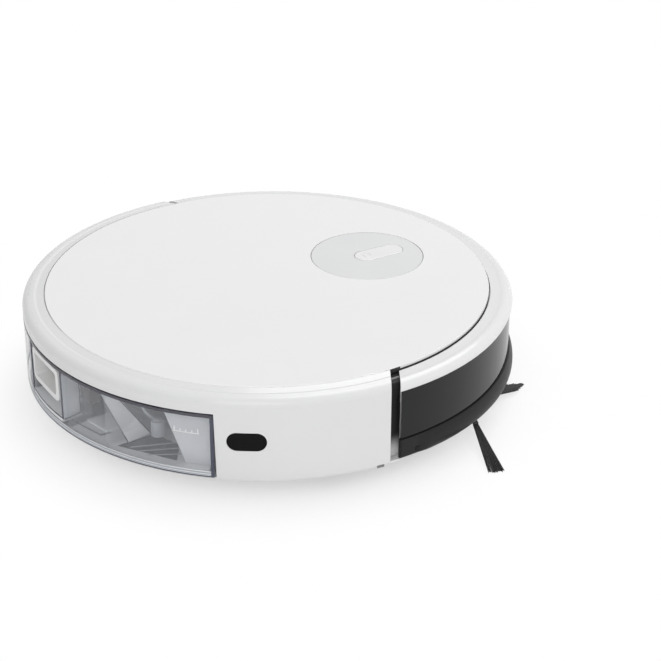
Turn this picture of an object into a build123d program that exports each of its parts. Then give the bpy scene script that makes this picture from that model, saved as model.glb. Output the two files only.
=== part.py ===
from build123d import *
import os
from math import asin, atan2, cos, degrees, radians, sin, sqrt

# Robot vacuum cleaner, in millimetres.
# Origin: centre of the round body, on the floor.  +Y is the driving direction, where
# the bumper is; the dust bin slides out towards -Y; +Z is up.

os.makedirs("parts", exist_ok=True)

# ---------------------------------------------------------------- driving dimensions
# body
body_r = 165.0            # outer radius of the round body
body_h = 76.0             # floor to the top of the lid
base_z = 12.0             # floor clearance under the base plate
base_slope_w = 15.0       # sloping rim round the flat part of the base
rim_inset = 1.6           # base rim inside the body's outer radius
rim_slope_h = 5.4         # rise of that slope
rim_ledge_w = 4.9         # flat top of the rim
rim_z = 18.8              # top of the base rim, which carries the rear wall
wall = 2.5                # moulded walls of the casings
thin = 2.0                # thinner walls and ribs inside
draft = 0.8               # how far the rear wall leans in at its foot
side_gap = 3.3            # half the gap between bumper and rear casing at each side
side_lean = 0.54          # that gap runs forward by this much for each mm inwards
side_lean_w = 25.0        # from the body's outer radius in to where it stops leaning

# lid and deck
lid_ring_w = 15.0         # ring between the lid and the outer wall
lid_t = 2.2
lid_round = 0.6
ring_drop = 0.2           # ring just below the lid's top
groove_deep = 1.1         # shallow groove in the ring, with a low bead in it
bead_h = 0.3
groove_in_w = 9.5         # groove edges and bead, measured in from the outer wall
bead_w = 7.6
groove_out_w = 5.8
shoulder_drop = 6.2       # top of the outer wall below the lid's top
shoulder_w = 1.8          # middle of the rounded shoulder
shoulder_mid_drop = 2.9
seam = 0.5                # visible joint between lid and rear ring
deck_t = 2.2
flange_t = 1.8            # bumper flange that slides in under the lid
slide_gap = 0.35          # above and below that flange
rib_edge = 5.5            # ring-shaped rib that carries the lid, inside the lid's edge
rib_w = 4.5
bumper_depth = 12.0       # from the body's outer radius in to the wall behind the bumper

# control disc and its button
disc_r = 39.0
disc_y = 79.0
disc_gap = 0.4
disc_round = 0.4
disc_rib_w = 4.0          # rib under the disc's edge
flange_drop = 0.2         # play between the button's rim and the disc
button_w = 16.0
button_l = 37.0
button_y = 88.5
button_gap = 0.3
button_proud = 0.3        # crown above the lid
button_travel = 1.0
button_flange = 1.5       # rim that keeps the button in
button_flange_t = 0.9
button_round = 0.8
board_t = 1.6             # circuit boards
control_board_r = 34.0
deck_hole_r = 30.0

# bumper
bumper_proud = 1.0        # bumper outside the body's outer radius
bumper_skin_w = 6.0       # from the band's outer face in to its carrier wall
bumper_t = 2.3
bumper_travel = 4.0
bumper_foot_z = 19.1
bumper_flange_in = 1.0    # bumper flange ends this far outside the lid's edge
crown_w = 7.5             # rounded crown of the band, measured in from the body's radius
crown_mid_w = 1.2
crown_mid_drop = 4.2
brow_h = 0.6              # thin edge of the band above the window
fillet_w = 1.4            # inside corner between carrier and flange
window_low_z = 33.0
window_drop = 8.0         # top of the window below the lid's top
window_t = 2.2
fit_gap = 0.1             # between glued or clipped skins
skin_back = 0.8           # window and lip end this far ahead of the band's ends
lip_proud = 3.0           # bulge of the lip outside the body's outer radius
lip_base_proud = 0.4
lip_foot_w = 2.2          # rounded foot of the lip
lip_bulge_z = 24.5
lip_start_y = 20.0        # where the lip starts to bulge, from the body's centre line
peg_x = 34.0
peg_z = 30.0
peg_r = 3.0
peg_l = 15.0
peg_in = 11.0             # inner end of the pegs, behind the front wall
pin_gap = 0.08            # radial clearance of every running pin and shaft
spring_seat_proud = 0.15  # spring seat clear of the curved front wall
spring_end_in = 4.9       # spring's outer end inside the carrier wall
spring_turns = 4
spring_boss_l = 3.4
spring_in_r = 3.5
spring_out_r = 4.6
strip_t = 5.0
strip_back_y = -6.0
strip_front_y = 11.0
strip_drop = 5.3          # top of the strips below the lid's top

# dust bin, which fills the rear of the body
bin_half_angle = 50.0
bin_side_gap = 0.5
bin_low_z = 19.3
bin_drop = 13.0           # top of the bin below the lid's top
bin_roof_gap = 1.0
bin_front_gap = 0.4       # between the bin and the wall ahead of it
bin_front_half = 118.0
bin_wall = 2.2
bin_floor = 2.5
bin_lid_t = 2.0
rail_l = 60.0             # ribs of the base that the bin slides on
rail_w = 2.4
rail_xs = [-100.0, -45.0, 45.0, 100.0]
pocket_half = 24.0
pocket_deep = 20.0        # finger pocket, from the outer wall in
pocket_low_z = 24.0
pocket_wall = 2.0
frame_half = 21.0
frame_low_z = 37.0
frame_top_z = 60.0
frame_in = 2.0            # frame's face behind the outer wall
frame_deep = 16.0
frame_wall = 3.5
frame_round = 4.0
latch_t = 5.5
latch_gap = 1.0           # behind the pressed latch
latch_travel = 2.5
inlet_half = 50.0
inlet_h = 12.0
inlet_drop = 7.0          # top of the inlet below the filter
flap_gap = 1.7            # middle plane of the hanging flap behind the bin's front wall
flap_rise = 3.0           # its hinge above the inlet
flap_t = 1.4
flap_pin_r = 1.4
flap_ear_t = 2.0
ramp_back = 20.0          # ramp behind the flap
ramp_rise = 5.0           # its crest above the inlet's lower edge
ramp_l = 34.0
ramp_t = 1.6
divider_x = 62.0
plug_x = 92.0
plug_y = -100.0
plug_r = 7.0

# suction duct, filter and fan
duct_x = 34.0
duct_half = 20.0
duct_h = 17.0
duct_rise = 1.0           # duct above the main brush chamber
duct_wall = 1.6
filter_half = 22.0
filter_deep = 15.0
filter_rim = 3.0
filter_edge = 2.0
pleat_count = 10
pleat_deep = 7.0
fan_r = 26.0
fan_floor_gap = 1.5       # under the fan housing
fan_back_y = -11.0
fan_front_y = 9.0
fan_wall = 2.0
fan_inlet_r = 11.0
impeller_r = 21.0
impeller_gap = 1.5
blade_count = 9
fan_motor_r = 11.0
fan_motor_l = 12.0
fan_shaft_r = 1.5
outlet_h = 14.0
outlet_l = 20.0

# main brush
brush_y = -43.0
brush_floor_gap = 1.0
brush_r = 21.0
brush_core_r = 7.0
brush_half = 77.0
brush_blades = 6
brush_blade_t = 2.4
stub_r = 3.0
stub_l = 8.0
brush_gap = 2.5           # round the brush, in its chamber
brush_end_gap = 1.5
housing_wall = 3.5        # end walls of the chamber
housing_shell = 3.0       # its front and rear walls
housing_roof = 4.5
housing_round = 6.0
housing_flange = 4.0
housing_flange_t = 2.0
mouth_margin = 1.0        # chamber's mouth round the bin's inlet
bearing_r = 5.2
bearing_l = 4.5
brush_gear_w = 8.0
brush_gear_t = 5.0
brush_motor_r = 8.6
brush_motor_l = 46.0
brush_motor_gap = 0.4
guard_t = 1.8
guard_edge = 4.0
guard_lap = 3.0

# drive wheels
wheel_y = -4.0
wheel_r = 33.0
wheel_in_x = 121.0
wheel_w = 20.0
tyre_t = 6.0
tread_count = 24
tread_w = 3.0
tread_deep = 1.6
tread_edge = 3.0
hub_rim_t = 2.5
hub_web_t = 3.0
hub_boss_r = 8.0
hub_boss_l = 14.0
axle_r = 3.0
pivot_y = 42.0
pivot_z = 42.0
pivot_r = 2.5
arm_in_x = 96.0
arm_out_x = 114.0
arm_pivot_r = 10.0
arm_wheel_r = 16.0
drive_motor_r = 11.5
drive_motor_y = 20.0
drive_motor_z = 41.0
drive_motor_end_x = 64.0
motor_slot_top_z = 55.0   # top of the slot that the motor swings in
well_in_x = 91.0
well_out_x = 146.0
well_back_y = -42.0
well_front_y = 54.0
well_top_gap = 3.1        # wells and bay wall below the deck
ear_in_x = 117.5
ear_t = 2.5
stop_gap = 0.1            # between the arm and its upper stop
spring_wire_r = 0.7
spring_coils = 3

# caster
caster_y = 121.0
cup_wall_gap = 3.0        # cup's outer radius outside the fork's
caster_skirt = 5.5        # fork's radius outside the wheel's
caster_slot_gap = 1.2
caster_low_z = 13.0
caster_roof = 6.2         # fork above its wheel
cup_roof_gap = 0.4
cup_roof_t = 2.4
caster_wheel_r = 16.0
caster_wheel_w = 15.0
caster_trail = 3.0
caster_axle_r = 1.5
caster_pin_r = 3.0
slot_w = 17.0

# side brushes
side_hub_x = 116.8
side_hub_y = 81.3
side_hub_r = 9.0
side_hub_z = 5.6          # lowest face of the hub
side_reach = 70.0         # tips of the bristles from the hub's centre
side_arm_end = 22.0
side_arm_w = 4.6
side_shift = 5.2          # arms stand this far beside the hub's centre, so they trail
arm_low_z = 7.6           # arm beside the hub
arm_top_z = 11.2
arm_tip_low_z = 6.7       # arm's outer end
arm_tip_top_z = 9.4
tuft_low_z = 2.0          # tips of the bristles
tuft_top_z = 3.6
tuft_root_w = 3.6
side_tip_w = 10.7
side_angle = -18.0        # direction of the first arm of the right-hand brush
side_shaft_r = 2.5
recess_r = 15.5
recess_top_z = 16.3
boss_r = 17.5
boss_top_z = 18.6
gear_centre_r = 128.0
gear_out_r = 7.5
gear_in_r = 14.0
gear_top_z = 31.0
side_motor_r = 11.0
side_motor_top_z = 52.0

# battery and boards
battery_half_x = 37.0
battery_y0 = 24.0
battery_y1 = 92.0
battery_h = 20.0
battery_gap = 0.5
cell_r = 9.2
cover_gap = 0.3
main_board_half_x = 72.0
main_board_y0 = 38.0
main_board_y1 = 100.0
main_board_top_z = 57.6

# fasteners and small windows
screw_r = 1.5
screw_head_r = 3.0
screw_head_t = 1.7
screw_l = 12.0
screw_gap = 0.2
screw_sunk = 0.3
post_r = 4.0
boss_z = 17.0
post_points = [(62.0, 126.0), (130.0, 61.0), (138.0, -57.0)]
board_post_r = 3.0
board_post_points = [(65.0, 45.0), (65.0, 93.0)]
eye_angle = -33.0         # flat infrared window in the rear wall
eye_l = 24.6
eye_h = 12.4
eye_z = 45.6
eye_gap = 0.15
sensor_hole_r = 2.5
sensor_slot_l = 16.0
sensor_slot_h = 8.0
sensor_board_w = 14.0
sensor_board_h = 12.0
speaker_x = -75.0
speaker_y = 10.0
speaker_r = 12.0
cliff_angles = [52.0, 70.0, 110.0, 128.0]
cliff_r = 143.0
cliff_l = 16.0
cliff_w = 7.0
sensor_angles = [45.0, 68.0, 90.0, 112.0, 135.0]
sensor_z = 50.0
contact_x = 42.0
contact_y = 124.0
contact_l = 24.0
contact_w = 8.0
contact_t = 1.2
contact_proud = 0.3

# ------------------------------------------------------------------- derived values
floor_z = base_z + wall                              # inside of the base
base_r = body_r - base_slope_w
rim_r = body_r - rim_inset
lid_r = body_r - lid_ring_w
rib_out_r = lid_r - rib_edge
rib_in_r = rib_out_r - rib_w
ring_z = body_h - ring_drop
shoulder_z = body_h - shoulder_drop
front_wall_r = body_r - bumper_depth                 # outer face of the wall behind the bumper
lid_z = body_h - lid_t
deck_z = lid_z - flange_t - 2 * slide_gap            # top of the deck
deck_low_z = deck_z - deck_t
well_top_z = deck_low_z - well_top_gap
flange_top_z = lid_z - slide_gap
flange_low_z = flange_top_z - flange_t
front_wall_in_r = front_wall_r - wall
shell_foot_r = body_r - draft
bumper_out_r = body_r + bumper_proud
bumper_in_r = bumper_out_r - bumper_skin_w
window_top_z = body_h - window_drop
lip_r = body_r + lip_proud
lip_base_r = body_r + lip_base_proud
peg_end_y = front_wall_r - peg_in
peg_points = [(peg_x, peg_z), (-peg_x, peg_z)]
spring_seat_y = sqrt(front_wall_r ** 2 - (peg_x - spring_out_r) ** 2) + spring_seat_proud
spring_end_y = bumper_in_r - spring_end_in
strip_in_r = front_wall_r + fit_gap
strip_top_z = body_h - strip_drop
brush_z = brush_r + brush_floor_gap
housing_r = brush_r + brush_gap                      # inside of the brush chamber
housing_half = brush_half + brush_end_gap
housing_end_x = housing_half + housing_wall
housing_front_y = brush_y + housing_r + housing_shell
housing_back_y = brush_y - housing_r - housing_shell
housing_mid_y = (housing_front_y + housing_back_y) / 2
housing_top_z = brush_z + housing_r + housing_roof
brush_motor_z = housing_top_z + brush_motor_gap + brush_motor_r
duct_low_z = housing_top_z + duct_rise
duct_top_z = duct_low_z + duct_h
fan_z = floor_z + fan_floor_gap + fan_r
filter_low_z = duct_low_z - duct_rise
inlet_top_z = filter_low_z - inlet_drop
inlet_low_z = inlet_top_z - inlet_h
bay_wall_y = housing_back_y - fit_gap - thin         # rear face of the wall ahead of the bin
bin_top_z = body_h - bin_drop
bin_front_y = bay_wall_y - bin_front_gap
bin_half_x = body_r * sin(radians(bin_half_angle))
bin_corner_y = -body_r * cos(radians(bin_half_angle))
bin_body_top_z = bin_top_z - bin_lid_t
bay_top_z = bin_top_z + bin_roof_gap
pocket_back_y = pocket_deep - body_r
frame_front_y = frame_in - body_r
frame_back_y = frame_front_y + frame_deep
frame_mid_z = (frame_low_z + frame_top_z) / 2
latch_front_y = pocket_back_y - latch_gap - latch_travel - latch_t
flap_y = bin_front_y - bin_wall - flap_gap
flap_z = inlet_top_z + flap_rise
filter_y = bin_front_y - bin_wall
carrier_out_r = bumper_in_r + bumper_t
rim_wheel_r = wheel_r - tyre_t
arm_rise = pivot_z - wheel_r
arm_run = pivot_y - wheel_y
arm_span = sqrt(arm_rise ** 2 + arm_run ** 2)
arm_slope = atan2(arm_rise, arm_run) - asin((arm_wheel_r - arm_pivot_r) / arm_span)
stop_z = wheel_r + (arm_wheel_r + post_r * sin(arm_slope)) / cos(arm_slope) + stop_gap
caster_r = caster_wheel_r + caster_skirt
caster_top_z = 2 * caster_wheel_r + caster_roof
cup_r = caster_r + cup_wall_gap
cup_top_z = caster_top_z + cup_roof_gap + cup_roof_t
caster_wheel_y = caster_y - caster_trail
battery_mid_y = (battery_y0 + battery_y1) / 2
well_mid_y = (well_back_y + well_front_y) / 2
posts = [(side * x, y) for side in (-1, 1) for x, y in post_points]
side_hubs = [(side_hub_x, side_hub_y), (-side_hub_x, side_hub_y)]
big = 3 * body_r                                     # longer than anything it cuts
over = 1.0                                           # how far a cut starts outside its piece


def finish(part, name):
    """Label a finished piece and write it to its own file."""
    part.label = name
    export_step(part, f"parts/{name}.step")


def polar(r, angle):
    """Point at a radius and an angle from +X, seen from above."""
    return (r * cos(radians(angle)), r * sin(radians(angle)))


def ahead_of_gap(start_y):
    """Everything ahead of a leaning side gap that starts at start_y on the body's outer radius."""
    reach = 2 * side_lean_w
    outer_y = start_y - reach * side_lean
    inner_y = start_y + side_lean_w * side_lean
    with BuildSketch(mode=Mode.PRIVATE) as region:
        Polygon((body_r + reach, outer_y), (body_r + reach, big), (-body_r - reach, big),
                (-body_r - reach, outer_y), (side_lean_w - body_r, inner_y), (body_r - side_lean_w, inner_y),
                align=None)
    return region.sketch


def upright(angle):
    """Plane on the body's axis, facing outwards in the direction of angle."""
    return Plane(origin=(0, 0, 0), x_dir=(-sin(radians(angle)), cos(radians(angle)), 0),
                 z_dir=(cos(radians(angle)), sin(radians(angle)), 0))


# ================================================================== casing and lid
with BuildPart() as top_lid:
    with BuildSketch(Plane.XY.offset(lid_z)):
        Circle(lid_r)
    extrude(amount=lid_t)
    fillet(top_lid.edges().group_by(Axis.Z)[-1], lid_round)
    with BuildSketch(Plane.XY.offset(lid_z)):
        with Locations((0, disc_y)):
            Circle(disc_r + disc_gap)
    extrude(amount=lid_t, mode=Mode.SUBTRACT)
finish(top_lid.part, "top_lid")

with BuildPart() as control_disc:
    with BuildSketch(Plane.XY.offset(lid_z)):
        with Locations((0, disc_y)):
            Circle(disc_r)
        with Locations((0, button_y)):
            SlotOverall(button_l + 2 * button_gap, button_w + 2 * button_gap, rotation=90, mode=Mode.SUBTRACT)
    extrude(amount=lid_t)
    rim = control_disc.edges().filter_by(GeomType.CIRCLE).group_by(SortBy.RADIUS)[-1]
    fillet(rim.group_by(Axis.Z)[-1], disc_round)
finish(control_disc.part, "control_disc")

with BuildPart() as power_button:
    with BuildSketch(Plane.XY.offset(lid_z - flange_drop)):
        with Locations((0, button_y)):
            SlotOverall(button_l, button_w, rotation=90)
    extrude(amount=lid_t + button_proud + flange_drop)
    fillet(power_button.edges().group_by(Axis.Z)[-1], button_round)
    with BuildSketch(Plane.XY.offset(lid_z - flange_drop)):
        with Locations((0, button_y)):
            SlotOverall(button_l + 2 * button_flange, button_w + 2 * button_flange, rotation=90)
    extrude(amount=-button_flange_t)
finish(power_button.part, "power_button")

# The rear casing carries the ring round the lid, the rear wall and the deck.
with BuildPart() as upper_shell:
    with BuildSketch(Plane.XZ) as ring_section:
        with BuildLine():
            ring_in = (lid_r + seam, lid_z)
            groove_out = (body_r - groove_out_w, ring_z - groove_deep)
            shoulder = (body_r, shoulder_z)
            Polyline(ring_in, (lid_r + seam, ring_z), (body_r - groove_in_w, ring_z - groove_deep),
                     (body_r - bead_w, ring_z - groove_deep + bead_h), groove_out)
            ThreePointArc(groove_out, (body_r - shoulder_w, body_h - shoulder_mid_drop), shoulder)
            Polyline(shoulder, (shell_foot_r, rim_z), (shell_foot_r - wall, rim_z),
                     (body_r - wall, shoulder_z - wall + 0.2), (body_r - 6, deck_z + 0.6),
                     (lid_r + seam + thin, deck_z + 1.2), (lid_r + seam + thin, deck_low_z),
                     (rib_out_r + 1.5, deck_low_z), (rib_out_r + 1.5, lid_z), ring_in)
        make_face()
    revolve(axis=Axis.Z)
    with BuildSketch():
        add(ahead_of_gap(-side_gap))
    extrude(amount=body_h + over, mode=Mode.SUBTRACT)
    with BuildSketch(Plane.XY.offset(deck_low_z)):
        Circle(front_wall_r)
        with Locations((0, disc_y)):
            Circle(deck_hole_r, mode=Mode.SUBTRACT)
    extrude(amount=deck_t)
    with BuildSketch(Plane.XY.offset(deck_z)):
        Circle(rib_out_r)
        Circle(rib_in_r, mode=Mode.SUBTRACT)
        with Locations((0, disc_y)):
            Circle(disc_r + 1)
            Circle(disc_r + 1 - disc_rib_w, mode=Mode.SUBTRACT)
    extrude(amount=lid_z - deck_z)
    with BuildSketch(Plane.XY.offset(boss_z)):
        with Locations(*posts):
            Circle(post_r)
    extrude(amount=deck_low_z - boss_z)
    with BuildSketch(Plane.XY.offset(main_board_top_z)):
        with Locations(*[(side * x, y) for side in (-1, 1) for x, y in board_post_points]):
            Circle(board_post_r)
    extrude(amount=deck_low_z - main_board_top_z)
    with BuildSketch(Plane.XY.offset(stop_z)):
        with Locations(*[(side * (arm_in_x + arm_out_x) / 2, wheel_y) for side in (-1, 1)]):
            Circle(post_r)
    extrude(until=Until.NEXT)
    with BuildSketch(Plane.XY.offset(boss_z)):
        with Locations(*posts):
            Circle(screw_r)
    extrude(amount=screw_l, mode=Mode.SUBTRACT)
    with BuildSketch(Plane.XY.offset(bay_top_z)):
        with Locations((0, -body_r)):
            Rectangle(2 * bin_half_x, 2 * (body_r + bin_front_y))
    extrude(amount=rim_z - bay_top_z - over, mode=Mode.SUBTRACT)
    with BuildSketch(upright(eye_angle).offset(body_r - 3 * wall)):
        with Locations((0, eye_z)):
            SlotOverall(eye_l + 2 * eye_gap, eye_h + 2 * eye_gap)
    extrude(amount=4 * wall, mode=Mode.SUBTRACT)
finish(upper_shell.part, "upper_shell")

# The base: a dished tray with the front wall behind the bumper, wheel wells, bays and bosses.
with BuildPart() as lower_chassis:
    with BuildSketch(Plane.XZ) as tray_section:
        with BuildLine():
            ledge_r = rim_r - rim_ledge_w
            Polyline((0, base_z), (base_r, base_z), (rim_r, base_z + rim_slope_h), (rim_r, rim_z),
                     (ledge_r, rim_z), (ledge_r, base_z + rim_slope_h - 0.2), (base_r, floor_z),
                     (0, floor_z), (0, base_z))
        make_face()
    revolve(axis=Axis.Z)
    # wall behind the bumper
    with BuildSketch(Plane.XY.offset(floor_z)):
        Circle(front_wall_r)
        Circle(front_wall_in_r, mode=Mode.SUBTRACT)
        with Locations((0, strip_back_y - thin - big / 2)):
            Rectangle(big, big, mode=Mode.SUBTRACT)
    extrude(amount=deck_low_z - floor_z)
    # walls of the wheel wells, each closed on the outside by the casing
    with BuildSketch(Plane.XY.offset(floor_z)):
        for side in (-1, 1):
            with Locations((side * (well_in_x - thin + base_r) / 2, well_mid_y)):
                Rectangle(base_r - well_in_x + thin, well_front_y - well_back_y + 2 * thin)
            with Locations((side * (well_in_x + big) / 2, well_mid_y)):
                Rectangle(big - well_in_x, well_front_y - well_back_y, mode=Mode.SUBTRACT)
        Circle(front_wall_in_r, mode=Mode.INTERSECT)
    extrude(amount=well_top_z - floor_z)
    # battery bay walls, rails under the bin and the wall in front of it
    with BuildSketch(Plane.XY.offset(floor_z)):
        with Locations((0, battery_mid_y)):
            Rectangle(2 * (battery_half_x + battery_gap + thin),
                      battery_y1 - battery_y0 + 2 * (battery_gap + thin))
            Rectangle(2 * (battery_half_x + battery_gap),
                      battery_y1 - battery_y0 + 2 * battery_gap, mode=Mode.SUBTRACT)
    extrude(amount=battery_h + 1)
    with BuildSketch(Plane.XY.offset(floor_z)):
        with Locations(*[(x, bin_front_y - rail_l / 2 - over) for x in rail_xs]):
            Rectangle(rail_w, rail_l)
        Circle(base_r + 5, mode=Mode.INTERSECT)
    extrude(amount=bin_low_z - slide_gap - floor_z)
    with BuildSketch(Plane.XY.offset(floor_z)):
        with Locations((0, bay_wall_y + thin / 2)):
            Rectangle(2 * bin_front_half - 4, thin)
    extrude(amount=well_top_z - floor_z)
    # screw bosses and the raised seats of the side brushes
    with BuildSketch(Plane.XY.offset(floor_z)):
        with Locations(*posts):
            Circle(post_r)
    extrude(amount=boss_z - floor_z)
    with BuildSketch(Plane.XY.offset(base_z)):
        with Locations(*side_hubs):
            Circle(boss_r)
    extrude(amount=boss_top_z - base_z)
    # ears for the pins of the wheel arms, and bosses for the bumper springs
    for side in (-1, 1):
        with BuildSketch(Plane.YZ.offset(side * ear_in_x)):
            with Locations(((pivot_y + well_front_y) / 2 + 1, pivot_z)):
                Rectangle(well_front_y - pivot_y + 6, 2 * arm_pivot_r)
            with Locations((pivot_y - 1, pivot_z)):
                Circle(arm_pivot_r - 2)
        extrude(amount=side * ear_t)
    with BuildSketch(Plane.XZ.offset(-spring_seat_y)):
        with Locations(*peg_points):
            Circle(spring_out_r + 1)
    extrude(amount=spring_boss_l)

    # openings: wheels, main brush, battery, caster, side brush recesses
    with BuildSketch(Plane.XY.offset(base_z - over)):
        for side in (-1, 1):
            with Locations((side * (well_in_x + well_out_x) / 2, well_mid_y)):
                Rectangle(well_out_x - well_in_x, well_front_y - well_back_y)
        with Locations((0, housing_mid_y)):
            Rectangle(2 * (housing_end_x + fit_gap), housing_front_y - housing_back_y + 2 * fit_gap)
        with Locations((0, battery_mid_y)):
            Rectangle(2 * (battery_half_x + battery_gap), battery_y1 - battery_y0 + 2 * battery_gap)
        with Locations((0, caster_y)):
            Circle(cup_r + fit_gap)
        for angle in cliff_angles:
            with Locations(Location((*polar(cliff_r, angle), 0), (0, 0, angle))):
                Rectangle(cliff_w + 2 * fit_gap, cliff_l + 2 * fit_gap)
    extrude(amount=floor_z - base_z + 2 * over, mode=Mode.SUBTRACT)
    with BuildSketch(Plane.XY.offset(base_z - over)):
        with Locations(*side_hubs):
            Circle(recess_r)
    extrude(amount=recess_top_z - base_z + over, mode=Mode.SUBTRACT)
    with BuildSketch(Plane.XY.offset(base_z)):
        with Locations(*side_hubs):
            Circle(side_shaft_r + 1)
    extrude(amount=boss_top_z, mode=Mode.SUBTRACT)
    # windows of the drive motors through the inner walls of the wells
    with BuildSketch(Plane.YZ.offset(-well_in_x - over)):
        with Locations((drive_motor_y + 1.5, (floor_z + motor_slot_top_z) / 2 + 1)):
            Rectangle(2 * drive_motor_r + 9, motor_slot_top_z - floor_z - 2)
    extrude(amount=2 * (well_in_x + over), mode=Mode.SUBTRACT)
    # room for the bearings of the main brush, where they reach down to the base
    for side in (-1, 1):
        with BuildSketch(Plane.YZ.offset(side * housing_end_x)):
            with Locations((brush_y, brush_z)):
                Circle(bearing_r + fit_gap)
        extrude(amount=side * 2 * housing_flange, mode=Mode.SUBTRACT)
    # duct and filter windows in the wall ahead of the bin
    with BuildSketch(Plane.XZ.offset(-bin_front_y)):
        with Locations((0, (inlet_low_z + inlet_top_z) / 2)):
            Rectangle(2 * (inlet_half + 4), inlet_h + 2 * (mouth_margin + 3))
        with Locations((duct_x, (duct_low_z + duct_top_z) / 2)):
            Rectangle(2 * (duct_half + 1), duct_h + 2)
    extrude(amount=-4, mode=Mode.SUBTRACT)
    # holes: wheel arm pins, bumper pegs, obstacle sensors
    with BuildSketch(Plane.YZ.offset(-base_r)):
        with Locations((pivot_y, pivot_z)):
            Circle(pivot_r)
    extrude(amount=2 * base_r, mode=Mode.SUBTRACT)
    with BuildSketch(Plane.XZ.offset(-peg_end_y)):
        with Locations(*peg_points):
            Circle(peg_r + pin_gap)
    extrude(amount=-peg_l, mode=Mode.SUBTRACT)
    for angle in sensor_angles:
        with BuildSketch(upright(angle).offset(front_wall_in_r - 5)):
            with Locations((0, sensor_z)):
                Circle(sensor_hole_r)
        extrude(amount=wall + 10, mode=Mode.SUBTRACT)
    # screws from below, and shallow seats for the charging contacts
    with BuildSketch(Plane.XY.offset(base_z - over)):
        with Locations(*posts):
            Circle(screw_r + screw_gap)
    extrude(amount=boss_z - base_z + 2 * over, mode=Mode.SUBTRACT)
    with BuildSketch(Plane.XY.offset(base_z - over)):
        with Locations(*posts):
            Circle(screw_head_r + screw_gap)
    extrude(amount=screw_head_t + screw_sunk + over, mode=Mode.SUBTRACT)
    with BuildSketch(Plane.XY.offset(base_z - over)):
        with Locations((contact_x, contact_y), (-contact_x, contact_y)):
            Rectangle(contact_l + 2 * fit_gap, contact_w + 2 * fit_gap)
    extrude(amount=contact_t - contact_proud + over, mode=Mode.SUBTRACT)
finish(lower_chassis.part, "lower_chassis")

with BuildPart() as housing_screws:
    head_seat_z = base_z + screw_head_t + screw_sunk
    with BuildSketch(Plane.XY.offset(head_seat_z)):
        with Locations(*posts):
            Circle(screw_head_r)
    extrude(amount=-screw_head_t)
    with BuildSketch(Plane.XY.offset(head_seat_z)):
        with Locations(*posts):
            Circle(screw_r)
    extrude(amount=screw_l)
finish(housing_screws.part, "housing_screws")

with BuildPart() as side_eye_window:
    with BuildSketch(upright(eye_angle).offset(body_r - wall - draft)):
        with Locations((0, eye_z)):
            SlotOverall(eye_l, eye_h)
    extrude(amount=2 * wall)
    eye_face_r = shell_foot_r + draft * (eye_z - rim_z) / (shoulder_z - rim_z)
    with BuildSketch(Plane.XY.offset(rim_z)):
        Circle(eye_face_r)
    extrude(amount=body_h - rim_z, mode=Mode.INTERSECT)
finish(side_eye_window.part, "side_eye_window")

# =========================================================================== bumper
with BuildPart() as bumper_band:
    with BuildSketch(Plane.XZ):
        with BuildLine():
            flange_in_r = lid_r + bumper_flange_in
            crown = (body_r - crown_w, flange_top_z - 0.1)
            brow = (bumper_out_r, window_top_z + brow_h)
            Polyline((flange_in_r, flange_low_z), (flange_in_r, flange_top_z), crown)
            ThreePointArc(crown, (body_r - crown_mid_w, body_h - crown_mid_drop), brow)
            Polyline(brow, (bumper_out_r - 0.2, window_top_z), (carrier_out_r, window_top_z),
                     (carrier_out_r, bumper_foot_z), (bumper_in_r, bumper_foot_z),
                     (bumper_in_r, flange_low_z - fillet_w), (bumper_in_r - fillet_w, flange_low_z),
                     (flange_in_r, flange_low_z))
        make_face()
    revolve(axis=Axis.Z)
    with BuildSketch():
        add(ahead_of_gap(side_gap))
    extrude(amount=body_h + over, mode=Mode.INTERSECT)
    with BuildSketch(Plane.XZ.offset(-peg_end_y)):
        with Locations(*peg_points):
            Circle(peg_r)
    extrude(amount=-peg_l)
    for angle in sensor_angles:
        with BuildSketch(upright(angle).offset(bumper_in_r - 5)):
            with Locations((0, sensor_z)):
                SlotOverall(sensor_slot_l, sensor_slot_h)
        extrude(amount=12, mode=Mode.SUBTRACT)
finish(bumper_band.part, "bumper_band")

with BuildPart() as bumper_window:
    with BuildSketch(Plane.XZ):
        with Locations((carrier_out_r + fit_gap, window_low_z)):
            Rectangle(window_t, window_top_z - window_low_z, align=(Align.MIN, Align.MIN))
    revolve(axis=Axis.Z)
    with BuildSketch():
        add(ahead_of_gap(side_gap + skin_back))
    extrude(amount=body_h + over, mode=Mode.INTERSECT)
finish(bumper_window.part, "bumper_window")

with BuildPart() as bumper_lip:
    with BuildSketch(Plane.XZ):
        with BuildLine():
            lip_in_r = carrier_out_r + fit_gap
            foot = (lip_r - lip_foot_w, bumper_foot_z + 0.3)
            shelf = (lip_base_r + 0.4, window_low_z)
            Polyline((lip_in_r, foot[1]), foot)
            ThreePointArc(foot, (lip_r, lip_bulge_z), shelf)
            Polyline(shelf, (lip_in_r, window_low_z), (lip_in_r, foot[1]))
        make_face()
    revolve(axis=Axis.Z)
    with BuildSketch(Plane.XY):
        Circle(lip_base_r)
        with Locations((0, lip_start_y + big / 2)):
            Rectangle(big, big)
        add(ahead_of_gap(side_gap + skin_back), mode=Mode.INTERSECT)
    extrude(amount=body_h, mode=Mode.INTERSECT)
finish(bumper_lip.part, "bumper_lip")

with BuildPart() as gap_strips:
    with BuildSketch(Plane.XY.offset(rim_z)):
        for side in (-1, 1):
            with Locations((side * (strip_in_r + strip_t / 2 + 0.2), (strip_back_y + strip_front_y) / 2)):
                Rectangle(strip_t, strip_front_y - strip_back_y)
    extrude(amount=strip_top_z - rim_z)
    with BuildSketch(Plane.XY):
        Circle(strip_in_r)
    extrude(amount=body_h, mode=Mode.SUBTRACT)
    fillet(gap_strips.edges().group_by(Axis.Z)[-1], 1.0)
finish(gap_strips.part, "gap_strips")

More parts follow.
